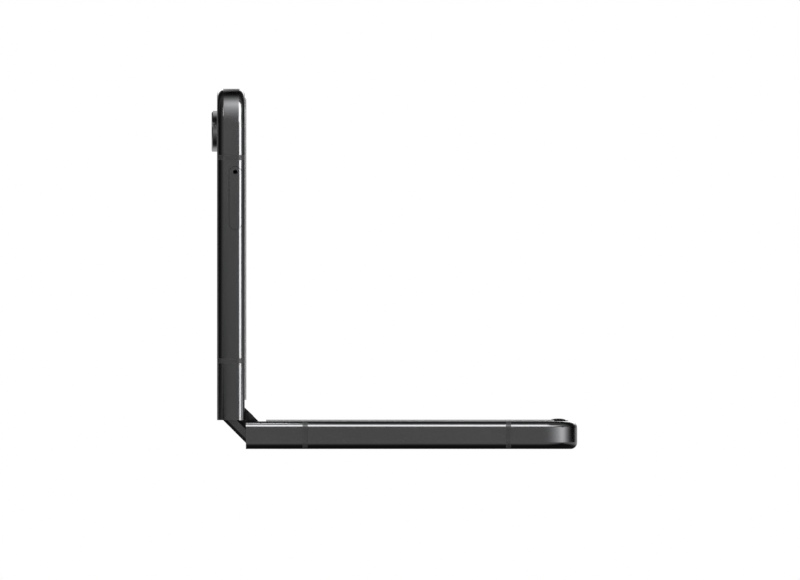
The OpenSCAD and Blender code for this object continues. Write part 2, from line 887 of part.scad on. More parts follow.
// Card tray: its face takes the round of the frame's edge, and the carrier holds a card
module sim_tray() {
    color(metal) at_upper() difference() {
        union() {
            intersection() {
                outer_slab();
                side_bar(tray_u, body_t - tray_q, tray_len, tray_h, -half_w - 1, wall - half_w);
            }
            translate([tray_u - tray_len / 2 + 1, wall - half_w - 0.1, body_t - tray_q - tray_t / 2])
                cube([tray_len - 2, tray_deep - 3, tray_t]);
        }
        translate([tray_u - tray_len / 2 + 1.7, inner_wall + 1.2 - half_w, body_t - tray_q - 0.2])
            cube([tray_len - 3.4, card_w, 2]);
        translate([tray_u - tray_len / 2 + 1.7 + card_rest, inner_wall + 1.2 + card_rest - half_w, 0])
            cube([tray_len - 3.4 - 2 * card_rest, card_w - 2 * card_rest, body_t]);
        translate([tray_u + tray_len / 2 - tray_h / 2, wall + 1 - half_w, body_t - tray_q])
            rotate([90, 0, 0]) cylinder(d = eject_d, h = 5);
    }
}

module tray_seal() {
    color([0.4, 0.1, 0.05]) at_upper() difference() {
        side_bar(tray_u, body_t - tray_q, tray_len - 0.5, tray_h - 0.4,
            wall + 0.02 - half_w, wall + 0.5 - half_w);
        side_bar(tray_u, body_t - tray_q, tray_len - 1.6, 1.2, wall - half_w, wall + 1 - half_w);
    }
}

// A key with a stepped face and a flange behind the wall
module side_key(u, l) {
    inside = half_w - inner_wall;
    side_bar(u, key_z, l, key_h, inside - 0.7, half_w + key_out - 0.2);
    side_bar(u, key_z, l - 0.4, key_h - 0.4, half_w, half_w + key_out);
    side_bar(u, key_z, l + 1, key_h + 0.6, inside - 0.7, inside - 0.25);
}

module volume_key() {
    color(metal) at_upper() side_key(volume_u, volume_len);
}

module power_key() {
    color(metal) at_upper() side_key(power_u, power_len);
}

lower_frame();
lower_antenna_strips();
lower_back_glass();
lower_display();
lower_rim();
rubber_stops();
lower_battery();
lower_board();
usb_shell();
usb_tongue();
loudspeaker();
vibration_motor();
lower_rotors();
lower_rotor_screws();
spine_cover();
spine_end_caps();
hinge_bases();
hinge_shafts();
hinge_springs();
edge_strips();
display_fold();
hinge_flex();
lower_gear_arms();
lower_idlers();
upper_idlers();
upper_gear_arms();
lower_wings();
upper_wings();
upper_frame();
upper_antenna_strips();
cover_glass();
cover_display();
camera_rings();
camera_lenses();
camera_modules();
flash_lens();
upper_display();
upper_rim();
upper_battery();
main_board();
chip_shields();
upper_rotors();
upper_rotor_screws();
earpiece();
selfie_camera();
card_reader();
sim_tray();
tray_seal();
volume_key();
power_key();
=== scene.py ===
"""Foldable smartphone, half open on a pale floor.

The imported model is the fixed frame. The classes below dress its nodes, build the pieces that bend
or need a finer form than the solids, and set the camera, the floor and the lights. Lengths in the
classes are millimetres in each half's flat drawing (u runs from the seam to the free end, z from
the back), and are turned to metres in the shared frame when a mesh is made.
"""

import logging
import math
from dataclasses import dataclass, field
from enum import Enum
from typing import Callable, Dict, List, Optional, Sequence, Tuple, Union

import bmesh
import bpy
import numpy as np
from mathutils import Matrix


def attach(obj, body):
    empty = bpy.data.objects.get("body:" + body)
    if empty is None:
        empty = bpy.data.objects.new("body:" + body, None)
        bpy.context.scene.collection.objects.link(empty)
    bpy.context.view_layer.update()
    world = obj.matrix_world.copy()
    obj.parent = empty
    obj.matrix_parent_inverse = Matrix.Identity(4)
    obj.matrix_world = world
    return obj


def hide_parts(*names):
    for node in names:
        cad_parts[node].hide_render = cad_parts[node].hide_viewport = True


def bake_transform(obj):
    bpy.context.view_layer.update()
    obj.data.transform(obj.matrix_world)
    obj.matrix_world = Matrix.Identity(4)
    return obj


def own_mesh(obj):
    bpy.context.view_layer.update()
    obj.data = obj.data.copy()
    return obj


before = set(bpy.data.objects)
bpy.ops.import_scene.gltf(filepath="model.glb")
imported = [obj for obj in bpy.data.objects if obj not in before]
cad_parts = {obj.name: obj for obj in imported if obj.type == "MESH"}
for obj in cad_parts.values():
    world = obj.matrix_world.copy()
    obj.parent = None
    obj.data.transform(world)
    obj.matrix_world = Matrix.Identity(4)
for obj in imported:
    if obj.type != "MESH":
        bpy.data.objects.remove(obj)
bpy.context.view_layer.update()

log = logging.getLogger("phone")
Array = np.ndarray
Pair = Tuple[float, float]
Triple = Tuple[float, float, float]
MILLI = 0.001
DEGREES = 180 / math.pi
SQUARE = np.array([[-1, -1], [1, -1], [1, 1], [-1, 1]], float)
OTHER_SIDE = np.array([1.0, -1.0, 1.0])


@dataclass(frozen=True)
class Sizes:
    """The driving lengths, in millimetres, as the solids have them."""

    half_len: float = 82.5
    body_w: float = 71.9
    body_t: float = 6.9
    corner_r: float = 8.5
    fold_x: float = 0.55
    fold_deg: float = 45.0
    display_t: float = 0.55
    display_border: float = 2.7
    bend_len: float = 3.6
    rim_w: float = 2.0
    rim_h: float = 0.4
    rim_inset: float = 2.2
    rim_start: float = 5.1
    stop_h: float = 0.28
    stop_turn: float = 46.0
    camera_out: float = 1.35
    camera_end: float = 10.6
    camera_side: float = 11.2
    camera_pitch: float = 13.0
    ring_inner: float = 4.08
    selfie_end: float = 7.0
    flash_gap: float = 9.6
    beam_end: float = 10.6
    flex_w: float = 12.0

    @property
    def half_w(self) -> float:
        """Half the width across the phone."""
        return self.body_w / 2

    @property
    def corner(self) -> Pair:
        """Centre of a half's rounded corner, in u and across."""
        return self.half_len - self.corner_r, self.half_w - self.corner_r

    @property
    def rim_middle(self) -> float:
        """Distance of the rim's middle line from the side of the phone."""
        return self.rim_inset + self.rim_w / 2

    @property
    def camera_u(self) -> float:
        """Distance of the cameras from the seam."""
        return self.half_len - self.camera_end

    @property
    def camera_ys(self) -> Pair:
        """Places of the two cameras across the phone."""
        first = self.half_w - self.camera_side
        return first, first - self.camera_pitch


SIZES = Sizes()


class Place(Enum):
    """Where a flat drawing stands in the half-open phone."""

    LOWER = "lower_half"
    SPINE = "spine"
    UPPER = "upper_half"


def turned(x: Array, z: Array, pivot: Pair, degrees: float) -> Tuple[Array, Array]:
    """Turns points (x, z) about a pivot (px, pz), by an angle t.

    x' = px + (x-px) cos t + (z-pz) sin t, and z' = pz - (x-px) sin t + (z-pz) cos t.

    Args:
        x: Places along the phone.
        z: Heights.
        pivot: The pivot's place along the phone and its height.
        degrees: The turn t.

    Returns:
        The turned places and heights.
    """
    t = math.radians(degrees)
    dx, dz = x - pivot[0], z - pivot[1]
    return pivot[0] + dx * math.cos(t) + dz * math.sin(t), pivot[1] - dx * math.sin(t) + dz * math.cos(t)


def stand(points: Array, place: Place) -> Array:
    """Puts flat-drawn points in the shared frame, in metres.

    A lower point only shifts. A spine point (p, y, height above the fold axes) turns once about the
    lower fold axis. An upper point is mirrored in u and turns about both axes in turn.

    Args:
        points: Array (..., 3) of drawn points in millimetres.
        place: The half, or the spine, that the drawing belongs to.

    Returns:
        Array (..., 3) in metres.
    """
    x, y, z = points[..., 0], points[..., 1], points[..., 2]
    a, t, fold = SIZES.fold_x, SIZES.body_t, SIZES.fold_deg
    if place is Place.SPINE:
        x, z = turned(x, z + t, (a, t), fold)
    elif place is Place.UPPER:
        x, z = turned(-x, z, (-a, t), fold)
        x, z = turned(x, z, (a, t), fold)
    return np.stack([x - SIZES.half_len / 2, y, z], axis=-1) * MILLI


def linked(name: str, data: bpy.types.ID) -> bpy.types.Object:
    """Makes an object of some data, in the scene.

    Args:
        name: The object's name.
        data: Its mesh, camera or light.

    Returns:
        The object, at the origin.
    """
    made = bpy.data.objects.new(name, data)
    bpy.context.scene.collection.objects.link(made)
    return made


class Surface:
    """Vertices and faces gathered from grids, closed and made one mesh."""

    def __init__(self) -> None:
        """Starts with nothing in it."""
        self.points: List[Array] = []
        self.faces: List[Sequence[int]] = []
        self.count = 0

    def grid(self, points: Array, around: bool = False, caps: bool = True) -> "Surface":
        """Adds a grid of points as quads.

        Face (i, j) joins rows i and i+1 and columns j and j+1. Where the columns run around, the
        last joins the first, and the first and last rows are closed with one face each.

        Args:
            points: Array (rows, columns, 3).
            around: Whether the columns close on themselves.
            caps: Whether the ends of a grid that runs around are closed.

        Returns:
            This surface, for chaining.
        """
        rows, columns = points.shape[:2]
        index = np.arange(rows * columns).reshape(rows, columns) + self.count
        right = np.roll(index, -1, axis=1) if around else index[:, 1:]
        left = index if around else index[:, :-1]
        quads = np.stack([left[:-1], right[:-1], right[1:], left[1:]], axis=-1).reshape(-1, 4)
        self.points.append(points.reshape(-1, 3))
        self.faces += quads.tolist()
        if around and caps:
            self.faces += [index[0][::-1].tolist(), index[-1].tolist()]
        self.count += rows * columns
        return self

    def mesh(self, name: str, place: Optional[Place] = None) -> bpy.types.Mesh:
        """Makes the bare mesh; without a place its points are in metres in the shared frame.

        Args:
            name: The mesh's name.
            place: Where the drawing stands.

        Returns:
            The mesh, as its grids have it.
        """
        points = np.concatenate(self.points)
        mesh = bpy.data.meshes.new(name)
        mesh.from_pydata((points if place is None else stand(points, place)).tolist(), [], self.faces)
        return mesh

    def object(self, name: str, place: Place, sharp: float) -> bpy.types.Object:
        """Makes the mesh object, with doubles merged and faces pointing outwards.

        Args:
            name: The piece's name.
            place: Where the drawing stands.
            sharp: Angle in degrees above which an edge is sharp.

        Returns:
            The object, at the origin, with its place in its mesh.
        """
        mesh = self.mesh(name, place)
        work = bmesh.new()
        work.from_mesh(mesh)
        bmesh.ops.remove_doubles(work, verts=work.verts, dist=1e-7)
        bmesh.ops.dissolve_degenerate(work, edges=work.edges, dist=1e-8)
        bmesh.ops.recalc_face_normals(work, faces=work.faces)
        work.to_mesh(mesh)
        work.free()
        mesh.shade_smooth()
        mesh.set_sharp_from_angle(angle=math.radians(sharp))
        return linked(name, mesh)


def revolved(profile: Array, centre: Sequence[float], outward: float, steps: int = 72) -> Array:
    """Turns a profile about an upright axis of the flat drawing.

    Point (i, j) is centre + (r_i cos t_j, r_i sin t_j, outward h_i).

    Args:
        profile: Array (n, 2) of radius and height.
        centre: The axis' foot.
        outward: +1 where heights go up, -1 where they go down.
        steps: Points round the axis.

    Returns:
        Array (n, steps, 3).
    """
    t = np.linspace(0, 2 * np.pi, steps, endpoint=False)
    r, h = profile[:, :1], profile[:, 1:]
    z = centre[2] + outward * h * np.ones_like(t)
    return np.stack([centre[0] + r * np.cos(t), centre[1] + r * np.sin(t), z], axis=-1)


def swept(profile: Array, path: Array, normals: Array) -> Array:
    """Carries a closed profile along a path in a level plane.

    Point (i, j) is path_i + across_j normal_i + height_j z.

    Args:
        profile: Array (k, 2) of places across the path and heights.
        path: Array (n, 3) of the path's points.
        normals: Array (n, 2) of the unit directions across the path.

    Returns:
        Array (n, k, 3).
    """
    across, height = profile[:, 0], profile[:, 1]
    x = path[:, :1] + normals[:, :1] * across
    y = path[:, 1:2] + normals[:, 1:2] * across
    z = path[:, 2:3] + height * np.ones((len(path), 1))
    return np.stack([x, y, z], axis=-1)


def slab(section: Array, ys: Sequence[float]) -> Array:
    """A section (n, 2) of x and z at each of some places across the phone, as (rows, n, 3)."""
    return np.stack([np.column_stack([section[:, 0], np.full(len(section), y), section[:, 1]]) for y in ys])


def smooth(t: Array) -> Array:
    """The step t*t*(3-2t), held between 0 and 1."""
    t = np.clip(t, 0, 1)
    return t * t * (3 - 2 * t)


Value = Union["Shade", float]
Colour = Triple


def operator(kind: str) -> Callable[["Shade", Value], "Shade"]:
    """An operator of Shade that adds a Math node."""
    return lambda shade, other: shade.math(kind, other)


class Shade:
    """A socket of a graph's nodes; arithmetic on it adds Math nodes."""

    def __init__(self, graph: "Graph", socket: Optional[bpy.types.NodeSocket]) -> None:
        """Wraps a socket of a graph."""
        self.graph = graph
        self.socket = socket

    def math(self, kind: str, *others: Value) -> "Shade":
        """A Math node of this value and the others."""
        return self.graph.node("ShaderNodeMath", {"operation": kind}, dict(enumerate((self, *others))))

    __add__ = __radd__ = operator("ADD")
    __mul__ = __rmul__ = operator("MULTIPLY")
    __sub__ = operator("SUBTRACT")
    __truediv__ = operator("DIVIDE")
    __pow__ = operator("POWER")
    top = operator("MAXIMUM")

    def __rsub__(self, other: Value) -> "Shade":
        """The other value less this one."""
        return self.graph.node("ShaderNodeMath", {"operation": "SUBTRACT"}, {0: other, 1: self})

    def __abs__(self) -> "Shade":
        """Distance from nought."""
        return self.math("ABSOLUTE")

    def between(self, low: float, high: float) -> "Shade":
        """A smooth step from 0 at low to 1 at high."""
        settings = {"interpolation_type": "SMOOTHSTEP", "clamp": True}
        return self.graph.node("ShaderNodeMapRange", settings, {0: self, 1: low, 2: high})

    def wave(self, pitch_mm: float) -> "Shade":
        """A sine of a length in metres, with a pitch."""
        return (self * (2000 * math.pi / pitch_mm)).math("SINE")

    def tilt(self) -> "Shade":
        """The angle from -Y, in degrees, of a unit direction with this Y."""
        return (self * -1.0).math("ARCCOSINE") * DEGREES


def distance(a: Shade, b: Shade) -> Shade:
    """The distance of a place (a, b) from nought."""
    return (a * a + b * b) ** 0.5


class Graph:
    """The nodes of one material or world, with one method that makes any of them."""

    def __init__(self, owner: Union[bpy.types.Material, bpy.types.World]) -> None:
        """Empties the owner's nodes.

        Args:
            owner: A new material or world.
        """
        owner.use_nodes = True
        self.owner = owner
        self.tree = owner.node_tree
        self.tree.nodes.clear()
        self._place: Optional[Shade] = None

    def node(
        self,
        kind: str,
        settings: Optional[Dict[str, object]] = None,
        inputs: Optional[Dict[Union[int, str], object]] = None,
        out: Union[int, str] = 0,
    ) -> Shade:
        """Makes a node, sets it, and feeds it.

        Args:
            kind: The node's type.
            settings: Its properties, or the stops of a ramp under "stops".
            inputs: Values or Shades by socket index or name.
            out: The output to return.

        Returns:
            The chosen output, or an empty Shade where the node has none.
        """
        made = self.tree.nodes.new(kind)
        for key, value in (settings or {}).items():
            if key == "stops":
                ramp = made.color_ramp
                while len(ramp.elements) < len(value):
                    ramp.elements.new(0.5)
                for element, (position, colour) in zip(ramp.elements, value):
                    element.position = position
                    element.color = (*colour, 1.0)
            else:
                setattr(made, key, value)
        for key, value in (inputs or {}).items():
            if isinstance(value, Shade):
                self.tree.links.new(value.socket, made.inputs[key])
            else:
                made.inputs[key].default_value = value
        return Shade(self, made.outputs[out] if made.outputs else None)

    def place(self) -> Shade:
        """Object coordinates, in metres.

        Returns:
            The output of the one node that gives them.
        """
        if self._place is None:
            self._place = self.node("ShaderNodeTexCoord", out="Object")
        return self._place

    def part(self, axis: int) -> Shade:
        """One of the object coordinates, 0 to 2."""
        return self.node("ShaderNodeSeparateXYZ", None, {0: self.place()}, out=axis)

    def noise(self, size_mm: float, detail: float = 2.0, stretch: Optional[Triple] = None) -> Shade:
        """Noise about 0.5 whose features are about a size across.

        Args:
            size_mm: The features' size.
            detail: Finer octaves.
            stretch: Scale of each coordinate, for brushed lines.

        Returns:
            The noise.
        """
        where = self.place()
        if stretch:
            where = self.node("ShaderNodeMapping", None, {"Vector": where, "Scale": stretch})
        inputs = {"Vector": where, "Scale": 1000.0 / size_mm, "Detail": detail, "Roughness": 0.55}
        return self.node("ShaderNodeTexNoise", None, inputs)

    def grains(self, size_mm: float) -> Shade:
        """Distance to the nearest of scattered points, in units of a size."""
        return self.node("ShaderNodeTexVoronoi", None, {"Vector": self.place(), "Scale": 1000.0 / size_mm})

    def tint(self, factor: Value, first: Union[Shade, Colour], second: Colour) -> Shade:
        """The first colour, with the second laid over it by a factor.

        Args:
            factor: How much the second covers.
            first: A colour, varying or plain.
            second: A plain colour.

        Returns:
            The mixed colour.
        """
        base = first if isinstance(first, Shade) else (*first, 1.0)
        inputs = {0: factor, 6: base, 7: (*second, 1.0)}
        return self.node("ShaderNodeMix", {"data_type": "RGBA"}, inputs, out=2)

    def bump(self, height: Shade, depth_mm: float, strength: float = 0.5) -> Shade:
        """A normal from a height of 0 to 1 that stands for a depth."""
        inputs = {"Height": height, "Distance": depth_mm * MILLI, "Strength": strength}
        return self.node("ShaderNodeBump", None, inputs)

    def finish(self, shader: Shade, output: str = "ShaderNodeOutputMaterial") -> bpy.types.ID:
        """Joins a shader to the output, and returns the material or world."""
        self.node(output, None, {"Surface": shader})
        return self.owner


Texture = Dict[str, Shade]


@dataclass(frozen=True)
class Finish:
    """A finish: the numbers that are the same all over it, and its texture."""

    name: str
    slot: str
    colour: Colour
    metallic: float = 0.0
    roughness: float = 0.4
    coat: float = 0.0
    specular: float = 0.5

    def tone(self, factor: float, lift: float = 0.0) -> Colour:
        """The finish's colour, lighter or darker."""
        return tuple(min(1.0, c * factor + lift) for c in self.colour)

    def shades(self, graph: Graph, factor: Shade, dark: float, light: float) -> Shade:
        """A colour between a darker and a lighter tone."""
        return graph.tint(factor, self.tone(dark), self.tone(light))

    def texture(self, graph: Graph) -> Texture:
        """The sockets that vary over the surface; every finish has its own.

        Args:
            graph: The material's nodes.

        Returns:
            Shades by socket name.
        """
        raise NotImplementedError

    def material(self) -> bpy.types.Material:
        """Makes the material.

        Returns:
            A material with the finish's numbers and texture.
        """
        graph = Graph(bpy.data.materials.new(self.name))
        inputs: Dict[Union[int, str], object] = {
            "Base Color": (*self.colour, 1.0),
            "Metallic": self.metallic,
            "Roughness": self.roughness,
            "Coat Weight": self.coat,
            "Coat Roughness": 0.04,
            "Specular IOR Level": self.specular,
        }
        inputs.update(self.texture(graph))
        return graph.finish(graph.node("ShaderNodeBsdfPrincipled", None, inputs))


@dataclass(frozen=True)
class BlastedMetal(Finish):
    """Fine-blasted, dyed metal: a tight grain, faint handling marks and a soft broad cloud."""

    grain_mm: float = 0.11
    depth_mm: float = 0.0016

    def texture(self, graph: Graph) -> Texture:
        """Grain as bump and roughness, cloud and marks as colour.

        Args:
            graph: The material's nodes.

        Returns:
            Shades by socket name.
        """
        grain = graph.noise(self.grain_mm)
        cloud = graph.noise(14.0)
        marks = graph.noise(2.6, 4.0).between(0.6, 0.78)
        base = self.shades(graph, grain * 0.45 + cloud * 0.55, 0.9, 1.1)
        return {
            "Base Color": graph.tint(marks * 0.25, base, self.tone(1.22)),
            "Roughness": self.roughness - 0.05 + grain * 0.06 + cloud * 0.03 + marks * 0.03,
            "Normal": graph.bump(grain, self.depth_mm),
        }


@dataclass(frozen=True)
class HoledMetal(BlastedMetal):
    """Blasted metal with painted shade in one small hole along Y, and on a thin ring of the face round it."""

    hole: Pair = (0.0, 0.0)
    hole_r: float = 0.0006

    def texture(self, graph: Graph) -> Texture:
        """The painted hole shade is where a place is near the hole's axis in X and Z.

        Args:
            graph: The material's nodes.

        Returns:
            Shades by socket name.
        """
        out = super().texture(graph)
        reach = distance(graph.part(0) - self.hole[0], graph.part(2) - self.hole[1])
        # painted shade: black, matt and not metallic in the hole and on a thin ring of the face round it
        painted_hole_shade = reach.between(self.hole_r, self.hole_r * 0.86)
        out["Base Color"] = graph.tint(painted_hole_shade, out["Base Color"], (0.001, 0.001, 0.001))
        out["Metallic"] = 1.0 - painted_hole_shade
        out["Roughness"] = out["Roughness"] + painted_hole_shade * 0.5
        return out


@dataclass(frozen=True)
class SpineMetal(BlastedMetal):
    """Blasted metal whose two ends, across the phone, have a band of painted shade where a rounded edge would
    be dark.
    """

    end: float = 0.0331
    edge_shade_colour: Colour = (0.02, 0.02, 0.021)

    def texture(self, graph: Graph) -> Texture:
        """The band of painted shade is where a place is further from the middle than the end.

        Args:
            graph: The material's nodes.

        Returns:
            Shades by socket name.
        """
        out = super().texture(graph)
        painted_edge_shade = abs(graph.part(1)).between(self.end, self.end + 0.0003)
        # painted shade: the dark band at both ends stands in for the shade of a rounded end edge
        out["Base Color"] = graph.tint(painted_edge_shade, out["Base Color"], self.edge_shade_colour)
        return out


@dataclass(frozen=True)
class BrushedMetal(Finish):
    """Bare metal with fine lines along one direction."""

    lines: Triple = (1.0, 18.0, 18.0)

    def texture(self, graph: Graph) -> Texture:
        """Stretched noise as lines.

        Args:
            graph: The material's nodes.

        Returns:
            Shades by socket name.
        """
        lines = graph.noise(1.2, 3.0, self.lines)
        return {
            "Base Color": self.shades(graph, lines * 0.7 + graph.noise(3.0) * 0.3, 0.78, 1.0),
            "Roughness": self.roughness - 0.06 + lines * 0.14,
            "Normal": graph.bump(lines, 0.003),
        }


@dataclass(frozen=True)
class Glass(Finish):
    """Smooth dark glass with faint smears that only show in its gloss."""

    smear: float = 0.05
    haze_mm: float = 0.0

    def texture(self, graph: Graph) -> Texture:
        """Smears as roughness, a barely uneven colour, and a frosted grain where asked.

        Args:
            graph: The material's nodes.

        Returns:
            Shades by socket name.
        """
        smear = graph.noise(11.0, 5.0, (1.0, 0.6, 1.0)).between(0.42, 0.72)
        dust = graph.noise(0.5).between(0.66, 0.8)
        out = {
            "Base Color": graph.tint(graph.noise(22.0, 1.0), self.colour, self.tone(1.25, 0.0006)),
            "Roughness": self.roughness + smear * self.smear + dust * self.smear * 0.5,
        }
        if self.haze_mm:
            out["Normal"] = graph.bump(graph.noise(0.07, 1.0), self.haze_mm)
        return out


@dataclass(frozen=True)
class Screen(Finish):
    """A display that is off: a lit-area field with a blacker printed border round it."""

    along: int = 0
    middle: float = 0.0
    reach: Pair = (0.04, 0.03)

    def texture(self, graph: Graph) -> Texture:
        """The border is where a place is outside a rectangle, in object coordinates.

        Args:
            graph: The material's nodes.

        Returns:
            Shades by socket name.
        """
        first = abs(graph.part(self.along) - self.middle) - self.reach[0]
        second = abs(graph.part(1)) - self.reach[1]
        border = first.top(second).between(-0.00006, 0.00006)
        smear = graph.noise(13.0, 5.0, (0.7, 1.0, 0.7)).between(0.45, 0.75)
        return {
            "Base Color": graph.tint(border, self.colour, self.tone(0.25)),
            "Roughness": self.roughness + smear * 0.05,
            "Normal": graph.bump(graph.noise(16.0, 1.0), 0.004, 0.35),
        }


@dataclass(frozen=True)
class Moulded(Finish):
    """Moulded plastic or rubber with a fine spark-eroded skin."""

    grain_mm: float = 0.16
    depth_mm: float = 0.004

    def texture(self, graph: Graph) -> Texture:
        """Cells and noise together as skin, and a colour that is darker where that noise and a broad noise
        are low.

        Args:
            graph: The material's nodes.

        Returns:
            Shades by socket name.
        """
        noise = graph.noise(self.grain_mm * 2.5, 3.0)
        skin = graph.grains(self.grain_mm) * 0.5 + noise * 0.5
        broad = graph.noise(6.0)
        return {
            "Base Color": graph.tint(noise * 0.6 + broad * 0.4, self.tone(0.85), self.tone(1.16, 0.002)),
            "Roughness": self.roughness - 0.05 + skin * 0.1,
            "Normal": graph.bump(skin, self.depth_mm),
        }


@dataclass(frozen=True)
class Ringed(Finish):
    """A surface with fine turned rings about an axis along X, or about two beside each other."""

    centre: Pair = (0.0, 0.0)
    apart: float = 0.0
    pitch_mm: float = 0.12
    depth_mm: float = 0.004

    def texture(self, graph: Graph) -> Texture:
        """The rings are a sine of the distance from the nearer axis in Y and Z.

        Args:
            graph: The material's nodes.

        Returns:
            Shades by socket name.
        """
        y = abs(graph.part(1) - self.centre[0]) - self.apart / 2
        ring = distance(y, graph.part(2) - self.centre[1]).wave(self.pitch_mm) * 0.5 + 0.5
        noise = graph.noise(0.6)
        return {
            "Base Color": self.shades(graph, ring * 0.5 + noise * 0.5, 0.85, 1.12),
            "Roughness": (ring * 0.3 + noise * 0.3 + 0.7) * self.roughness,
            "Normal": graph.bump(ring, self.depth_mm, 0.6),
        }


@dataclass(frozen=True)
class Coated(Finish):
    """Lens glass whose coating turns from one tint to another across it."""

    tints: Tuple[Colour, Colour] = ((0.02, 0.01, 0.05), (0.005, 0.03, 0.03))
    centre: Pair = (0.0, 0.0)
    reach_mm: float = 1.6

    def texture(self, graph: Graph) -> Texture:
        """The tint goes by the distance from the axis in Y and Z.

        Args:
            graph: The material's nodes.

        Returns:
            Shades by socket name.
        """
        reach = distance(graph.part(1) - self.centre[0], graph.part(2) - self.centre[1])
        share = reach / (self.reach_mm * MILLI)
        dust = graph.noise(0.25).between(0.62, 0.75)
        return {
            "Base Color": graph.tint(share.between(0.25, 0.95), self.tints[0], self.tints[1]),
            "Roughness": self.roughness + dust * 0.02,
        }


@dataclass(frozen=True)
class Woven(Finish):
    """Fine gauze: two crossed waves, with painted shade in the holes between the threads."""

    pitch_mm: float = 0.18
    axes: Tuple[int, int] = (1, 2)

    def texture(self, graph: Graph) -> Texture:
        """Threads are high where either wave is high.

        Args:
            graph: The material's nodes.

        Returns:
            Shades by socket name.
        """
        first, second = (abs(graph.part(axis).wave(self.pitch_mm * 2)) for axis in self.axes)
        thread = first.top(second).between(0.55, 0.9)
        return {
            # painted shade: near black between the threads, for the dark behind the gauze
            "Base Color": graph.tint(thread, (0.001, 0.001, 0.001), self.colour),
            "Roughness": self.roughness + thread * 0.1,
            "Metallic": thread * self.metallic,
            "Normal": graph.bump(thread, 0.05, 0.8),
        }


@dataclass(frozen=True)
class Circuit(Finish):
    """Circuit board: tracks between the parts' pads, under a coloured lacquer."""

    def texture(self, graph: Graph) -> Texture:
        """Cells' borders make the tracks, and scattered cells the pads.

        Args:
            graph: The material's nodes.

        Returns:
            Shades by socket name.
        """
        settings = {"distance": "MANHATTAN", "feature": "F2"}
        cells = graph.node("ShaderNodeTexVoronoi", settings, {"Vector": graph.place(), "Scale": 700.0})
        pads = graph.grains(1.4).between(0.32, 0.26)
        track = cells.between(0.55, 0.62)
        return {
            "Base Color": graph.tint(pads, self.shades(graph, track, 1.0, 1.9), (0.6, 0.45, 0.16)),
            "Metallic": pads * 0.9,
            "Roughness": self.roughness + track * 0.08,
            "Normal": graph.bump(track, 0.02, 0.6),
        }


@dataclass(frozen=True)
class Foil(Finish):
    """A wrapped cell: matt foil with long soft wrinkles."""

    def texture(self, graph: Graph) -> Texture:
        """Stretched noise as wrinkles.

        Args:
            graph: The material's nodes.

        Returns:
            Shades by socket name.
        """
        wrinkle = graph.noise(5.0, 3.0, (0.4, 1.0, 0.4))
        fine = graph.noise(0.4)
        return {
            "Base Color": self.shades(graph, wrinkle, 0.8, 1.0),
            "Roughness": self.roughness + fine * 0.1,
            "Normal": graph.bump(wrinkle * 0.8 + fine * 0.2, 0.06, 0.6),
        }


@dataclass(frozen=True)
class Striped(Finish):
    """Flexible circuit: copper tracks side by side under amber film."""

    pitch_mm: float = 0.5

    def texture(self, graph: Graph) -> Texture:
        """The tracks are a sine across the phone.

        Args:
            graph: The material's nodes.

        Returns:
            Shades by socket name.
        """
        track = graph.part(1).wave(self.pitch_mm).between(-0.2, 0.3)
        return {
            "Base Color": graph.tint(track, self.colour, (0.5, 0.24, 0.08)),
            "Metallic": track * 0.6,
            "Roughness": self.roughness - track * 0.08,
            "Normal": graph.bump(track, 0.01, 0.6),
        }


GRAPHITE = BlastedMetal("graphite_metal", "frame", (0.155, 0.156, 0.160), 1.0, 0.17)
TRAY_METAL = HoledMetal("tray_metal", "frame", (0.155, 0.156, 0.160), 1.0, 0.17, hole=(-0.04385, 0.06903))
SPINE_COVER = SpineMetal("spine_metal", "frame", (0.13, 0.131, 0.135), 1.0, 0.2)
GRAPHITE_SPINE = BlastedMetal("graphite_spine", "frame", (0.125, 0.126, 0.13), 1.0, 0.22)
GAP_PLASTIC = Moulded(
    "antenna_plastic", "strip", (0.026, 0.026, 0.027), roughness=0.3, grain_mm=0.12, depth_mm=0.002
)
BACK_GLASS = Glass(
    "satin_back_glass", "back_glass", (0.03, 0.031, 0.034), roughness=0.3, smear=0.07, haze_mm=0.0015
)
COVER_GLASS = Glass("cover_glass", "cover_glass", (0.006, 0.006, 0.007), roughness=0.035, coat=0.6)
UNDER_GLASS = Glass("cover_screen", "display", (0.01, 0.01, 0.012), roughness=0.12)
RIM_PLASTIC = Moulded("rim_plastic", "rim", (0.2, 0.2, 0.203), roughness=0.3, grain_mm=0.1, depth_mm=0.002)
RUBBER = Moulded(
    "stop_rubber", "rubber", (0.004, 0.004, 0.004),
    roughness=0.5, specular=0.12, grain_mm=0.2, depth_mm=0.006,
)
CELL_FOIL = Foil("cell_foil", "battery", (0.1, 0.1, 0.105), 0.3, 0.45)
BOARD = Circuit("circuit_board", "board", (0.01, 0.06, 0.03), roughness=0.35)
STEEL = BrushedMetal("hinge_steel", "steel", (0.5, 0.5, 0.51), 1.0, 0.3)
SPRING = BrushedMetal("spring_steel", "spring", (0.56, 0.54, 0.48), 1.0, 0.26, lines=(6.0, 1.0, 6.0))
BLACK_PLASTIC = Moulded("black_plastic", "black_plastic", (0.014, 0.014, 0.014))
GOLD = BrushedMetal("contact_gold", "spring", (0.75, 0.52, 0.2), 1.0, 0.22)
AMBER = Striped("flexible_circuit", "flex", (0.2, 0.07, 0.012), roughness=0.35)
SEAL = Moulded("seal_rubber", "seal", (0.25, 0.03, 0.015), roughness=0.5)
FLASH = Moulded(
    "flash_window", "flash", (0.75, 0.7, 0.5), roughness=0.2, coat=0.5, grain_mm=0.3, depth_mm=0.01
)
GAUZE = Woven("speaker_gauze", "black_plastic", (0.12, 0.12, 0.125), 0.8, 0.4)


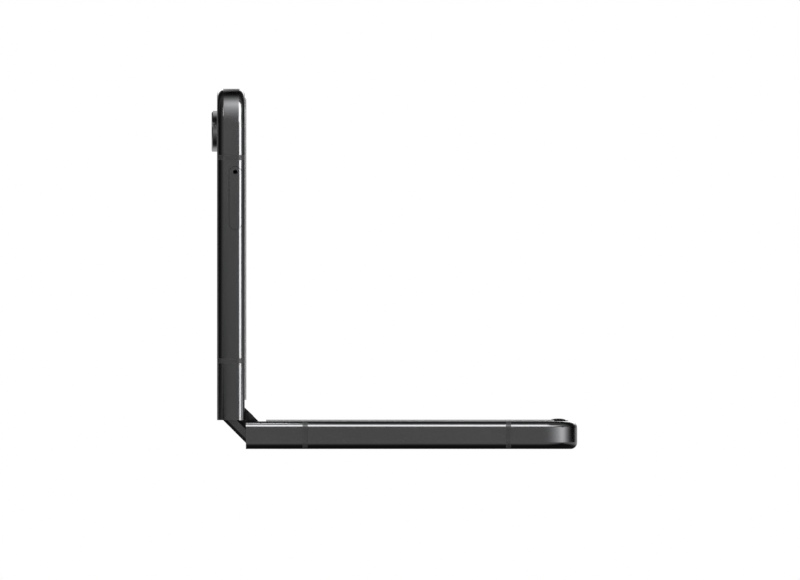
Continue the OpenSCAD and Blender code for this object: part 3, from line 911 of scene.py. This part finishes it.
@dataclass
class Phone:
    """The whole phone: keeps its finishes and sets up its pieces."""

    made: Dict[str, bpy.types.Material] = field(default_factory=dict)

    def coat(self, piece: bpy.types.Object, finish: Finish) -> None:
        """Gives an object, a node or a new piece, one finish.

        Args:
            piece: The object.
            finish: Its finish.
        """
        if finish.name not in self.made:
            self.made[finish.name] = finish.material()
        piece.data.materials.clear()
        piece.data.materials.append(self.made[finish.name])

    def dress(self, finish: Finish, *nodes: str) -> None:
        """Gives CAD nodes a finish.

        Args:
            finish: The finish.
            nodes: The nodes' names.
        """
        for name in nodes:
            self.coat(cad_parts[name], finish)
        log.info("%s on %s", finish.name, ", ".join(nodes))

    def add(
        self, piece: bpy.types.Object, finish: Finish, body: Optional[Place], *nodes: str
    ) -> bpy.types.Object:
        """Finishes a new piece, makes it ride and stand for nodes.

        Args:
            piece: The new object.
            finish: Its finish.
            body: The body it rides on, or None where it bends.
            nodes: CAD nodes it stands for.

        Returns:
            The piece.
        """
        self.coat(piece, finish)
        if body is not None:
            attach(piece, body.value)
        if nodes:
            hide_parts(*nodes)
        log.info("%s: %s", piece.name, finish.name)
        return piece


@dataclass
class Builder:
    """Something that dresses nodes of the phone, or adds pieces to it."""

    phone: Phone

    def build(self) -> None:
        """Does its work."""
        raise NotImplementedError


class Shells(Builder):
    """Frames, glass, antenna gaps, keys and tray: nodes that keep their shape."""

    def build(self) -> None:
        """Dresses the outer nodes."""
        dress = self.phone.dress
        dress(GRAPHITE, "lower_frame", "upper_frame", "volume_key", "power_key")
        dress(TRAY_METAL, "sim_tray")
        dress(SPINE_COVER, "spine_cover")
        dress(GRAPHITE_SPINE, "spine_end_caps")
        dress(GAP_PLASTIC, "lower_antenna_strips", "upper_antenna_strips")
        dress(BACK_GLASS, "lower_back_glass")
        dress(COVER_GLASS, "cover_glass")
        dress(SEAL, "tray_seal")


@dataclass
class Rim(Builder):
    """The raised rim round a display, with rounded shoulders, open towards the hinge."""

    outer: float = 0.36
    inner: float = 0.14
    sink: float = 0.02
    steps: int = 9

    def path(self) -> Tuple[Array, Array]:
        """The rim's middle line and the directions across it.

        Straight along one side, a quarter circle, across the free end, a quarter circle, and back.

        Returns:
            Points (n, 3) and unit directions (n, 2) that point outwards.
        """
        s = SIZES
        t = np.linspace(0, np.pi / 2, 17)
        across = np.stack([np.sin(t), np.cos(t)], axis=-1)
        turn = np.array(s.corner) + (s.corner_r - s.rim_middle) * across
        line = np.concatenate([[[s.rim_start, s.half_w - s.rim_middle]], turn])
        across = np.concatenate([[[0.0, 1.0]], across])
        flip = np.array([1.0, -1.0])
        path = np.concatenate([line, line[::-1] * flip])
        normals = np.concatenate([across, across[::-1] * flip])
        return np.column_stack([path, np.full(len(path), s.body_t)]), normals

    def profile(self) -> Array:
        """A low bar with a wide round outer shoulder and a narrow inner one; its foot sinks a little.

        Returns:
            Array (n, 2) of places across the rim and heights.
        """
        w, h = SIZES.rim_w / 2, SIZES.rim_h
        t = np.linspace(0, np.pi / 2, self.steps)
        turn = np.stack([np.cos(t), np.sin(t)], axis=-1)
        right = np.array([w - self.outer, h - self.outer]) + self.outer * turn
        left = np.array([self.inner - w, h - self.inner]) + self.inner * turn[::-1] * np.array([-1.0, 1.0])
        return np.concatenate([right, left, [[-w, -self.sink], [w, -self.sink]]])

    def build(self) -> None:
        """Makes both rims."""
        path, normals = self.path()
        for place, node in ((Place.LOWER, "lower_rim"), (Place.UPPER, "upper_rim")):
            surface = Surface().grid(swept(self.profile(), path, normals), around=True)
            piece = surface.object("raised_" + node, place, 40)
            self.phone.add(piece, RIM_PLASTIC, place, node)


@dataclass
class CornerStops(Builder):
    """Rubber stops on the lower rim's corners: low domes that lap over the rim's outer shoulder."""

    inner: float = 0.75
    outer: float = 1.06
    edge: float = 0.03
    foot: float = 0.005
    ends: float = 9.0
    fall: float = 0.75
    bulge: float = 0.45

    def build(self) -> None:
        """Makes both domes as one piece.

        Across the rim the top is an arch from the inner foot on the rim to the outer foot beside
        it, sin(a)^bulge; along the corner its height goes by (1 - t^2)^fall, and its width by
        sqrt(1 - |t|^ends), which rounds both ends in plan.
        """
        s = SIZES
        r = s.corner_r - s.rim_middle
        along = np.linspace(-1, 1, 33)[:, None]
        turn = np.radians(45 + along * s.stop_turn / 2)
        width = np.sqrt(np.clip(1 - np.abs(along) ** self.ends, 0.0004, 1))
        around = np.linspace(0, np.pi, 21)[None, :]
        across = np.where(np.cos(around) > 0, self.outer, self.inner) * np.cos(around) * width
        arch = (s.stop_h - self.edge) * (1 - along**2) ** self.fall
        rise = (s.rim_h + self.edge + arch) * np.sin(around) ** self.bulge
        x = s.corner[0] + (r + across) * np.sin(turn)
        y = s.corner[1] + (r + across) * np.cos(turn)
        top = np.stack([x, y, s.body_t + 2 * self.foot + rise], axis=-1)
        foot = np.stack([x, y, np.full_like(x, s.body_t + self.foot)], axis=-1)[:, ::-1]
        ring = np.concatenate([top, foot], axis=1)
        surface = Surface().grid(ring, around=True).grid(ring * OTHER_SIDE, around=True)
        piece = surface.object("corner_stops", Place.LOWER, 50)
        self.phone.add(piece, RUBBER, Place.LOWER, "rubber_stops")


@dataclass
class FoldingSheet(Builder):
    """A sheet across the hinge, made as two pieces that each bend about one fold axis.

    A flat point at distance s from the middle and depth q turns about its fold axis by the fold
    times smooth(s / reach).
    The depths of the top and the underside go from the first value to the second over the third.
    """

    name: str
    node: str
    width: float
    reach: float
    end: float
    finish: Finish
    top: Triple
    under: Triple
    steps: int = 26

    def line(self, depth: Triple) -> Array:
        """A bent line of the sheet in the spine's drawing.

        Args:
            depth: First depth, last depth, and the length over which it changes.

        Returns:
            Array (steps, 2) of p and height.
        """
        s = np.linspace(0, self.end, self.steps)
        q = depth[0] + (depth[1] - depth[0]) * smooth(s / depth[2])
        t = math.radians(SIZES.fold_deg) * smooth(s / self.reach)
        a = SIZES.fold_x
        p = a + (s - a) * np.cos(t) + q * np.sin(t)
        return np.stack([p, (s - a) * np.sin(t) - q * np.cos(t)], axis=-1)

    def build(self) -> None:
        """Makes the two pieces, each bent from the spine towards its half."""
        ring = np.concatenate([self.line(self.top), self.line(self.under)[::-1]])
        s = np.linspace(0, self.end, self.steps)
        last = self.line((0.0, 0.0, 1.0))[min(np.searchsorted(s, self.reach), self.steps - 1)]
        for side, half in ((1.0, Place.LOWER), (-1.0, Place.UPPER)):
            points = slab(ring * np.array([side, 1.0]), (-self.width / 2, self.width / 2))
            piece = Surface().grid(points, around=True).object(f"{self.name}_{half.value}", Place.SPINE, 40)
            self.phone.add(piece, self.finish, None, self.node)
            start, end = stand(np.array([[0.0, 0.0, 0.0], [side * last[0], 0.0, last[1]]]), Place.SPINE)
            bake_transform(piece)


@dataclass
class CornerStrips(Builder):
    """Flexible strips that close the corner beside the display, and their feet on the spine."""

    reach: float = 3.15
    crown_top: float = 1.93
    crown_r: float = 9.0
    root: float = 0.35
    gap: float = 0.02
    foot: float = 1.8
    neck: float = 0.4
    edge: float = 0.05
    clear: float = 0.03
    round_q: float = 0.18
    taper: float = 0.1

    def crown(self) -> Array:
        """Section of the strip in p and height: a shallow crown over two legs along the halves.

        Returns:
            Array (n, 2), the section.
        """
        a, root, gap = SIZES.fold_x, self.root, self.gap
        run = (self.reach - a) * math.cos(math.radians(SIZES.fold_deg))
        p = np.linspace(a + run, -a - run, 21)
        arc = self.crown_top - self.crown_r + np.sqrt(self.crown_r**2 - p**2)
        top = np.stack([p, np.maximum(arc, run + self.edge)], axis=-1)
        leg = np.array([[a, -root], [a, -gap], [a + run, run - self.clear]])
        return np.concatenate([top, leg[::-1] * np.array([-1.0, 1.0]), leg])

    def base(self) -> Array:
        """Section of the foot: a wedge that widens down to the end cap."""
        f, n = self.foot, self.neck
        return np.array([[n, -n / 2], [f, n - f], [f, -f], [-f, -f], [-f, n - f], [-n, -n / 2]])

    def bars(self, ring: Array) -> Surface:
        """Both bars of a section, each with rounded end faces.

        Args:
            ring: Array (n, 2), the section.

        Returns:
            The surface; each row is the section, drawn in towards its middle near the ends.
        """
        s = SIZES
        middle, q = ring.mean(axis=0), self.round_q
        t = np.linspace(0, np.pi / 2, 6)
        shift = s.rim_w / 2 - q + q * np.sin(t)
        ys = np.concatenate([-shift[::-1], shift])
        shrink = 1 - (1 - np.cos(t)) * self.taper
        scale = np.concatenate([shrink[::-1], shrink])[:, None, None]
        rows = middle + (ring - middle)[None] * scale
        surface = Surface()
        for side in (1.0, -1.0):
            y = np.broadcast_to((side * (s.half_w - s.rim_middle) + ys)[:, None], rows.shape[:2])
            surface.grid(np.stack([rows[..., 0], y, rows[..., 1]], axis=-1), around=True)
        return surface

    def build(self) -> None:
        """Makes the crowns and the feet."""
        crowns = self.bars(self.crown()).object("corner_strips", Place.SPINE, 40)
        self.phone.add(crowns, RUBBER, Place.SPINE, "edge_strips")
        feet = self.bars(self.base()).object("corner_strip_feet", Place.SPINE, 40)
        self.phone.add(feet, RUBBER, Place.SPINE, "edge_strips")
        up = stand(np.array([[0.0, 0.0, 0.0], [0.0, 0.0, 1.0]]), Place.SPINE)
        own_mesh(crowns)


@dataclass
class Displays(Builder):
    """The stiff display panels and the bending display between them."""

    border: float = 1.1
    slack: float = 0.1
    lit: float = 120.0

    def screen(self, part: str, roughness: float, along: int, end: float) -> Screen:
        """The finish of one part of the display, whose lit area runs back from its free end.

        Args:
            part: Which part.
            roughness: Its roughness.
            along: The object coordinate that runs along it, 0 or 2.
            end: Where the lit area ends, in metres.

        Returns:
            The finish.
        """
        reach = self.lit / 2 * MILLI
        across = (SIZES.half_w - SIZES.display_border - self.border) * MILLI
        return Screen(
            f"display_{part}", "display", (0.006, 0.006, 0.008), 0.0, roughness,
            along=along, middle=end - reach, reach=(reach, across),
        )

    def build(self) -> None:
        """Dresses the panels and makes the bending part, which has no border at its ends."""
        s = SIZES
        lower_end = (s.half_len / 2 - s.display_border - self.border) * MILLI
        top = max(v.co.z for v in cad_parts["upper_display"].data.vertices)
        dress = self.phone.dress
        dress(self.screen("lower", 0.06, 0, lower_end), "lower_display")
        dress(self.screen("upper", 0.06, 2, top - self.border * MILLI), "upper_display")
        dress(UNDER_GLASS, "cover_display")
        bend = self.screen("bend", 0.07, 0, 0.01)
        width = s.body_w - 2 * (s.rim_inset + s.rim_w + self.slack)
        FoldingSheet(
            self.phone, "bending_display", "display_fold", width, s.bend_len, s.bend_len,
            bend, (0.0, 0.0, 1.0), (s.display_t, s.display_t, 1.0),
        ).build()


@dataclass
class Hinge(Builder):
    """Spine, rotors, timing gears, shafts, springs, wings and the flexible circuit."""

    seal_r: float = 4.95
    seal_depth: float = 3.65
    seal_ys: Pair = (31.3, 31.9)
    flex_reach: float = 5.0
    flex_end: float = SIZES.beam_end - 0.5
    flex_top: Triple = (2.6, 1.15, 6.0)
    flex_under: Triple = (2.75, 1.3, 6.0)

    def seals(self) -> None:
        """Foam seals behind the spine's end caps, so that no light passes round the caps.

        The outline is two quarter circles about the fold axes, joined by a flat bottom.
        """
        t = np.linspace(0.25, np.pi / 2, 14)
        right = np.stack([SIZES.fold_x + self.seal_r * np.cos(t), -self.seal_r * np.sin(t)], axis=-1)
        right[:, 1] = np.maximum(right[:, 1], -self.seal_depth)
        ring = np.concatenate([right, right[::-1] * np.array([-1.0, 1.0])])
        surface = Surface()
        for side in (1.0, -1.0):
            surface.grid(slab(ring, [side * y for y in self.seal_ys]), around=True)
        self.phone.add(surface.object("spine_end_seals", Place.SPINE, 30), RUBBER, Place.SPINE)

    def build(self) -> None:
        """Dresses the nodes and makes the circuit that bends."""
        self.seals()
        dress = self.phone.dress
        dress(STEEL, "hinge_bases", "lower_rotors", "upper_rotors", "lower_wings", "upper_wings")
        dress(STEEL, "lower_gear_arms", "upper_gear_arms", "lower_idlers", "upper_idlers")
        dress(STEEL, "lower_rotor_screws", "upper_rotor_screws", "hinge_shafts")
        dress(SPRING, "hinge_springs")
        FoldingSheet(
            self.phone, "bending_circuit", "hinge_flex", SIZES.flex_w, self.flex_reach, self.flex_end,
            AMBER, self.flex_top, self.flex_under, steps=34,
        ).build()


@dataclass
class Cameras(Builder):
    """Rings, stepped barrels, coated lenses, flash window and the inner camera."""

    bezel_r: float = 2.7
    lens_r: float = 1.82
    lens_drop: float = 0.34
    dome_h: float = 0.24
    seat_h: float = 0.45
    chamfer: float = 0.06
    baffle: Pair = (0.22, 0.11)
    top: float = SIZES.camera_out - 0.25
    flash_r: float = 1.4
    ridge: Pair = (0.28, 0.05)

    def centre(self, u: float, y: float) -> Pair:
        """The Y and Z of a drawn point of the upper half in metres, for patterns about it."""
        point = stand(np.array([u, y, 0.0]), Place.UPPER)
        return float(point[1]), float(point[2])

    def turn(
        self, name: str, profile: Array, where: Triple, sharp: float, finish: Finish, node: str,
        outward: float = -1.0, steps: int = 72,
    ) -> None:
        """Makes a piece of the upper half by turning a profile.

        Args:
            name: The piece's name.
            profile: Array (n, 2) of radius and height.
            where: The axis' foot.
            sharp: Angle in degrees above which an edge is sharp.
            finish: The piece's finish.
            node: The CAD node it stands for.
            outward: -1 on the back, +1 on the display's side.
            steps: Points round the axis.
        """
        surface = Surface().grid(revolved(profile, where, outward, steps), around=True, caps=False)
        self.phone.add(surface.object(name, Place.UPPER, sharp), finish, Place.UPPER, node)

    def barrel(self) -> Array:
        """Black bezel, a chamfer, and baffle steps down to the lens' seat; radius and height.

        Returns:
            Array (n, 2).
        """
        r, b, top, cut = SIZES.ring_inner, self.bezel_r, self.top, self.chamfer
        profile = [(0.0, self.seat_h), (r, self.seat_h), (r, top - cut), (r - cut, top), (b, top)]
        profile += [(b - 0.12, top - 0.1), (b - 0.16, top - 0.22)]
        for k in range(3):
            edge, shelf = b - 0.3 - self.baffle[0] * k, top - 0.24 - self.baffle[1] * k
            profile += [(edge, shelf), (edge - 0.03, shelf - 0.1)]
        return np.array(profile + [(1.8, top - 0.62), (0.0, top - 0.62)])

    def dome(self) -> Array:
        """A shallow dome: height falls with the square of the radius.

        Returns:
            Array (n, 2) of radius and height.
        """
        r, back = np.linspace(0, self.lens_r, 15), self.top - 0.61
        crown = self.top - self.lens_drop - self.dome_h * (r / self.lens_r) ** 2
        return np.concatenate([np.stack([r, crown], axis=-1), [[self.lens_r, back], [0.0, back]]])

    def build(self) -> None:
        """Makes the lens stacks and dresses the rest."""
        s = SIZES
        u, black = s.camera_u, (0.006, 0.006, 0.007)
        self.phone.dress(BLACK_PLASTIC, "camera_modules")
        ring = Ringed(
            "ring_metal", "ring", (0.3, 0.3, 0.306), 1.0, 0.05,
            centre=self.centre(u, sum(s.camera_ys) / 2), apart=s.camera_pitch * MILLI,
            pitch_mm=0.3, depth_mm=0.0006,
        )
        self.phone.dress(ring, "camera_rings")
        for k, y in enumerate(s.camera_ys):
            where, centre = (u, y, 0.0), self.centre(u, y)
            baffle = Ringed(
                f"barrel_black_{k}", "black_plastic", black, 0.0, 0.16, 0.3,
                centre=centre, pitch_mm=0.1, depth_mm=0.002,
            )
            self.turn(f"lens_barrel_{k}", self.barrel(), where, 25, baffle, "camera_lenses")
            glass = Coated(
                f"lens_coating_{k}", "lens", (0.01, 0.01, 0.02), 0.0, 0.02, 1.0, centre=centre, reach_mm=1.9
            )
            self.turn(f"lens_glass_{k}", self.dome(), where, 40, glass, "camera_lenses")
        self.flash()
        self.selfie()

    def flash(self) -> None:
        """The flash window: a disc whose face has ring-shaped ridges."""
        pitch, height = self.ridge
        r, side = np.linspace(0, self.flash_r, 57), self.flash_r + 0.1
        face = np.stack([r, -height * np.abs(np.mod(r / pitch, 1.0) - 0.5)], axis=-1)
        profile = np.concatenate([face, [[side, 0.0], [side, -1.1], [0.0, -1.1]]])
        where = (SIZES.camera_u, SIZES.camera_ys[1] - SIZES.flash_gap, 0.0)
        self.turn("flash_window", profile, where, 30, FLASH, "flash_lens")

    def selfie(self) -> None:
        """The inner camera: a dark cone down to a small coated lens."""
        u = SIZES.half_len - SIZES.selfie_end
        t = np.linspace(0, 1, 9)
        lens = np.stack([0.62 * t, -0.2 - 0.1 * t**2], axis=-1)
        cone = [[0.66, -0.34], [0.8, -0.3], [1.35, -0.06], [1.62, -0.03], [1.7, -0.06]]
        back = [[1.7, -0.5], [0.0, -0.5]]
        glass = Coated(
            "inner_lens", "lens", (0.01, 0.01, 0.02), 0.0, 0.03, 1.0, centre=self.centre(u, 0.0), reach_mm=1.2
        )
        where = (u, 0.0, SIZES.body_t)
        profile = np.concatenate([lens, cone, back])
        self.turn("inner_camera", profile, where, 30, glass, "selfie_camera", outward=1.0, steps=56)


@dataclass
class Insides(Builder):
    """Cells, boards, port, speakers and the card reader, with the port's contacts."""

    contact: Pair = (1.6, 0.14)
    contact_count: int = 12
    contact_pitch: float = 0.5
    contact_end: float = 3.2
    levels: Tuple[Pair, ...] = ((1.0, 0.33), (1.0, 0.36), (0.8, 0.375))
    gauze_y: float = 16.7
    gauze_size: Triple = (7.2, 0.95, 0.08)
    gauze_end: float = 2.4

    def build(self) -> None:
        """Dresses the inner nodes and adds what shows through the openings."""
        dress = self.phone.dress
        dress(CELL_FOIL, "lower_battery", "upper_battery")
        dress(BOARD, "lower_board", "main_board")
        dress(STEEL, "usb_shell", "vibration_motor", "chip_shields", "card_reader")
        dress(BLACK_PLASTIC, "usb_tongue", "loudspeaker", "earpiece")
        self.contacts()
        self.gauze()

    def contacts(self) -> None:
        """Twelve gold pads on each side of the port's tongue.

        Each pad is a low box whose upper edge is drawn in, from rows of four corners.
        """
        surface = Surface()
        for side in (1.0, -1.0):
            for k in range(self.contact_count):
                across = (k - (self.contact_count - 1) / 2) * self.contact_pitch
                middle = np.array([SIZES.half_len - self.contact_end, across])
                rows = []
                for grow, height in self.levels:
                    flat = middle + SQUARE * np.array(self.contact) * grow
                    rows.append(np.column_stack([flat, np.full(4, SIZES.body_t / 2 + side * height)]))
                surface.grid(np.stack(rows), around=True)
        self.phone.add(surface.object("port_contacts", Place.LOWER, 30), GOLD, Place.LOWER)

    def gauze(self) -> None:
        """Woven gauze behind the speaker holes."""
        reach, height, thick = self.gauze_size
        flat = SQUARE * np.array([reach, height]) + np.array([self.gauze_y, SIZES.body_t / 2])
        u = SIZES.half_len - self.gauze_end
        rows = np.stack([np.column_stack([np.full(4, x), flat]) for x in (u, u + thick)])
        piece = Surface().grid(rows, around=True).object("speaker_gauze", Place.LOWER, 30)
        self.phone.add(piece, GAUZE, Place.LOWER)


Stops = Tuple[Pair, ...]

SHOULDER_GLOW: Stops = (
    (0, 0.42), (13, 0.44), (20, 0.52), (33, 0.82), (48, 1.36), (59, 1.9), (67, 2.5), (73, 2.65),
    (80, 2.3), (86, 1.8), (92, 1.1), (98, 0.8), (104, 0.42), (110, 0.2), (116, 0.08), (124, 0.01),
)
RING_GLOW: Stops = (
    (0, 0.42), (8, 0.36), (20, 0.23), (31, 0.15), (43, 0.08), (56, 0.035), (70, 0.02), (80, 0.04),
    (86, 0.09), (92, 0.17), (99, 0.38), (108, 0.65), (118, 0.8), (130, 0.95), (150, 1.05),
)
ROOM_GLOW: Stops = (
    (0, 0.4), (18, 0.4), (40, 0.33), (70, 0.26), (95, 0.2), (112, 0.03), (132, 0.03), (146, 0.3),
    (160, 0.5), (180, 0.5),
)
FLOOR_GLOW: Stops = ((0, 0.4), (18, 0.4), (45, 0.42), (80, 0.55), (120, 0.75), (180, 0.8))
EVEN_GLOW: Stops = ((0, 5.0), (180, 5.0))


def glow(graph: Graph, degrees: Shade, stops: Stops) -> Shade:
    """A brightness looked up by an angle.

    Args:
        graph: The material's nodes.
        degrees: The angle.
        stops: Pairs of angle and brightness, from 0 to 180 degrees.

    Returns:
        The brightness.
    """
    most = max(level for _, level in stops)
    ramp = [(angle / 180, (level / most,) * 3) for angle, level in stops]
    colour = graph.node("ShaderNodeValToRGB", {"stops": ramp}, {0: degrees * (1 / 180)})
    return graph.node("ShaderNodeSeparateColor", None, {0: colour}) * most


def leftward(x: Shade, y: Shade, power: float) -> Shade:
    """How far a direction points to -X, as long as it isn't behind the phone."""
    return ((x * -1.0).top(0.0) ** power) * (y * -1.0).between(-0.2, 0.1)


class StageCard:
    """A studio card that only mirrored rays see."""

    def __init__(self, name: str, points: Array) -> None:
        """Makes the card's mesh and an empty material.

        Args:
            name: The card's name.
            points: Array (rows, columns, 3) in metres.
        """
        mesh = Surface().grid(points).mesh(name)
        self.graph = Graph(bpy.data.materials.new(name))
        mesh.materials.append(self.graph.owner)
        self.object = linked(name, mesh)
        for ray in ("camera", "diffuse", "transmission", "volume_scatter", "shadow"):
            setattr(self.object, f"visible_{ray}", False)

    def shine(self, strength: Shade) -> None:
        """Gives the card its brightness."""
        self.graph.finish(self.graph.node("ShaderNodeEmission", None, {"Strength": strength}))


@dataclass(frozen=True)
class Bow:
    """A card bent about an axis that runs along X or Z, brighter or darker by the angle from -Y."""

    name: str
    axis: int
    centre: Pair
    span: Pair
    sweep: Pair
    stops: Stops
    radius: float = 40.0
    gain: float = 1.0
    near: float = 0.84
    anchor: float = 0.0
    waist: float = 0.0
    drop: float = 1000.0

    def build(self) -> None:
        """Point (i, j) = centre + r_j (side sin a_j - y cos a_j) + axis s_ij.

        The card narrows towards its anchor: s_ij = anchor + (t_i - anchor) cos(a_j / 2)^waist. It
        keeps its radius, r_j, but goes no further down than its drop.
        """
        side = 2 - self.axis
        t = np.linspace(*self.span, 4)[:, None]
        a = np.radians(np.linspace(*self.sweep, 48))[None, :]
        r = np.minimum(self.radius, self.drop / np.maximum(-np.sin(a), 1e-6))
        points = np.zeros((4, 48, 3))
        points[..., self.axis] = self.anchor + (t - self.anchor) * np.cos(a / 2) ** self.waist
        points[..., 1] = self.centre[0] - r * np.cos(a)
        points[..., side] = self.centre[1] + r * np.sin(a)
        card = StageCard(self.name, points * MILLI)
        up = card.graph.part(side) - self.centre[1] * MILLI
        ahead = self.centre[0] * MILLI - card.graph.part(1)
        angle = abs(up.math("ARCTAN2", ahead)) * (DEGREES / self.near)
        card.shine(glow(card.graph, angle, self.stops) * self.gain)


@dataclass(frozen=True)
class SoftBox:
    """A bright patch of the room; each edge is a pair, from where it is dark to where it is bright.

    The edges bound the angle from -Y in degrees, and the direction's X and Z, or |X| if twin.
    """

    level: float
    tilt: Tuple[Pair, ...]
    x: Tuple[Pair, ...]
    z: Tuple[Pair, ...]
    twin: bool = False

    def shade(self, tilt: Shade, x: Shade, z: Shade) -> Value:
        """Its level times a smooth step at each edge.

        Args:
            tilt: The direction's angle from -Y, in degrees.
            x: Its X.
            z: Its Z.

        Returns:
            The box's brightness in that direction.
        """
        level: Value = self.level
        for value, edges in ((tilt, self.tilt), (abs(x) if self.twin else x, self.x), (z, self.z)):
            for dark, bright in edges:
                level = value.between(dark, bright) * level
        return level


@dataclass(frozen=True)
class Room:
    """The studio round the phone as a large sphere: a grey room with soft boxes in it."""

    radius: float = 2.2
    boxes: Tuple[SoftBox, ...] = (
        SoftBox(5.0, ((9, 17), (61, 50)), ((-0.2, -0.15), (0.34, 0.24)), ((0.4, 0.46),)),
        SoftBox(5.0, ((20, 40), (101, 80)), ((0.26, 0.34), (0.92, 0.36)), ((0.38, 0.46), (0.7, 0.56))),
        SoftBox(8.5, ((16, 24), (60, 46)), ((0.0, 0.05),), ((0.16, 0.1),)),
        SoftBox(2.6, ((146, 150),), ((0.04, 0.08), (0.44, 0.36)), ((0.16, 0.24),), twin=True),
    )

    def build(self) -> None:
        """Point (i, j) = radius (cos e_i cos b_j, cos e_i sin b_j, sin e_i)."""
        e = np.radians(np.linspace(-4, 90, 40))[:, None]
        b = np.radians(np.linspace(0, 360, 97))[None, :]
        flat = np.cos(e)
        points = np.stack([flat * np.cos(b), flat * np.sin(b), np.sin(e) * np.ones_like(b)], axis=-1)
        card = StageCard("room", points * self.radius)
        x, y, z = (card.graph.part(axis) * (1 / self.radius) for axis in range(3))
        tilt = y.tilt()
        level = glow(card.graph, tilt, ROOM_GLOW) * (1.0 - leftward(x, y, 0.85))
        for box in self.boxes:
            level = level + box.shade(tilt, x, z)
        card.shine(level)


@dataclass
class Studio:
    """Camera, pale floor, white surroundings, soft lights and the cards that metal mirrors."""

    view_mm: float = 199.05
    centre: Pair = (-2.85, 39.56)
    foot_middle: float = -0.0035
    foot: Pair = (0.0445, 0.036)
    floor_reach: float = 4.0
    floor_drop: float = 0.00002
    bows: Tuple[Bow, ...] = (
        Bow("bow_upper_end", 0, (-27.45, 81.1), (-47.7, -34.4), (8, 124), SHOULDER_GLOW),
        Bow("bow_lower_end", 2, (-27.45, 32.75), (0.4, 14.2), (8, 124), SHOULDER_GLOW),
        Bow(
            "bow_ring", 0, (11.75, 79.03), (-52.0, -46.4), (-130, 150), RING_GLOW,
            radius=95.0, near=0.97, drop=77.4,
        ),
        Bow(
            "bow_upper_inner", 0, (-27.45, 81.1), (-39.9, -27.5), (5, 61), EVEN_GLOW,
            radius=20.0, gain=1.4, anchor=-43.1, waist=1.7,
        ),
    )
    lights: Tuple[Tuple[str, Triple, float], ...] = (
        ("light_top", (0.0, -0.65, 1.15), 14.0),
        ("light_right", (1.1, -0.7, 0.35), 12.0),
        ("light_back", (-0.9, 0.9, 0.9), 9.0),
    )
    light_size: float = 0.9
    aim: Triple = (0.0, 0.0, 0.03)

    def camera(self) -> None:
        """A level camera without perspective, looking along +Y."""
        data = bpy.data.cameras.new("camera")
        data.type = "ORTHO"
        data.ortho_scale = self.view_mm * MILLI
        data.clip_start, data.clip_end = 0.01, 50.0
        camera = linked("camera", data)
        camera.location = (self.centre[0] * MILLI, -0.7, self.centre[1] * MILLI)
        camera.rotation_euler = (math.radians(90), 0.0, 0.0)
        bpy.context.scene.camera = camera

    def floor(self) -> None:
        """A wide pale floor; mirrored rays see it grey, and dark close to the phone."""
        t = np.linspace(-self.floor_reach, self.floor_reach, 9)
        x, y = np.meshgrid(t, t, indexing="ij")
        mesh = Surface().grid(np.stack([x, y, np.full_like(x, -self.floor_drop)], axis=-1)).mesh("floor")
        graph = Graph(bpy.data.materials.new("floor_paper"))
        tone = graph.tint(graph.noise(60.0), (0.9, 0.9, 0.9), (0.93, 0.93, 0.93))
        paper = graph.node("ShaderNodeBsdfPrincipled", None, {"Base Color": tone, "Roughness": 0.9})
        x, y = graph.part(0), graph.part(1)
        outside = (abs(x - self.foot_middle) - self.foot[0]).top(0.0), (abs(y) - self.foot[1]).top(0.0)
        far = distance(x, y)
        level = glow(graph, (y / far).tilt(), FLOOR_GLOW)
        level = level * (1.0 - leftward(x / far, y / far, 0.7) * far.between(0.1, 0.32))
        level = level * distance(*outside).between(-0.0008, 0.0045)
        mirrored = graph.node("ShaderNodeEmission", None, {"Strength": level})
        ray = graph.node("ShaderNodeLightPath", out="Is Glossy Ray")
        shader = graph.node("ShaderNodeMixShader", None, {0: ray, 1: paper, 2: mirrored})
        mesh.materials.append(graph.finish(shader))
        floor = linked("floor", mesh)

    def world(self) -> None:
        """White where it is seen or mirrored, and a plain fill elsewhere."""
        graph = Graph(bpy.data.worlds.new("surroundings"))
        names = ("Is Camera Ray", "Is Glossy Ray", "Is Transmission Ray")
        camera, glossy, through = (graph.node("ShaderNodeLightPath", out=name) for name in names)
        seen = {0: camera + glossy + through, "To Min": 0.35, "To Max": 1.0}
        strength = graph.node("ShaderNodeMapRange", None, seen)
        inputs = {"Color": (1.0, 1.0, 1.0, 1.0), "Strength": strength}
        white = graph.node("ShaderNodeBackground", None, inputs)
        bpy.context.scene.world = graph.finish(white, "ShaderNodeOutputWorld")

    def light(self, name: str, place: Triple, watts: float) -> None:
        """A soft square light that looks at the phone.

        Args:
            name: The light's name.
            place: Where it stands, in metres.
            watts: Its power.
        """
        data = bpy.data.lights.new(name, "AREA")
        data.shape, data.size, data.energy = "SQUARE", self.light_size, watts
        light = linked(name, data)
        light.visible_glossy = False
        light.location = place
        away = np.array(place) - np.array(self.aim)
        flat = math.hypot(away[0], away[1])
        light.rotation_euler = (math.atan2(flat, away[2]), 0.0, math.atan2(away[1], away[0]) + math.pi / 2)

    def build(self) -> None:
        """Sets the whole stage."""
        bpy.context.scene.view_settings.view_transform = "Standard"
        self.camera()
        self.floor()
        self.world()
        Room().build()
        for bow in self.bows:
            bow.build()
        for light in self.lights:
            self.light(*light)


def main() -> None:
    """Builds the phone and the stage."""
    logging.basicConfig(level=logging.INFO, format="%(name)s: %(message)s")
    phone = Phone()
    Studio().build()
    for kind in (Shells, Rim, CornerStops, Displays, CornerStrips, Hinge, Cameras, Insides):
        kind(phone).build()


if __name__ == "__main__":
    main()
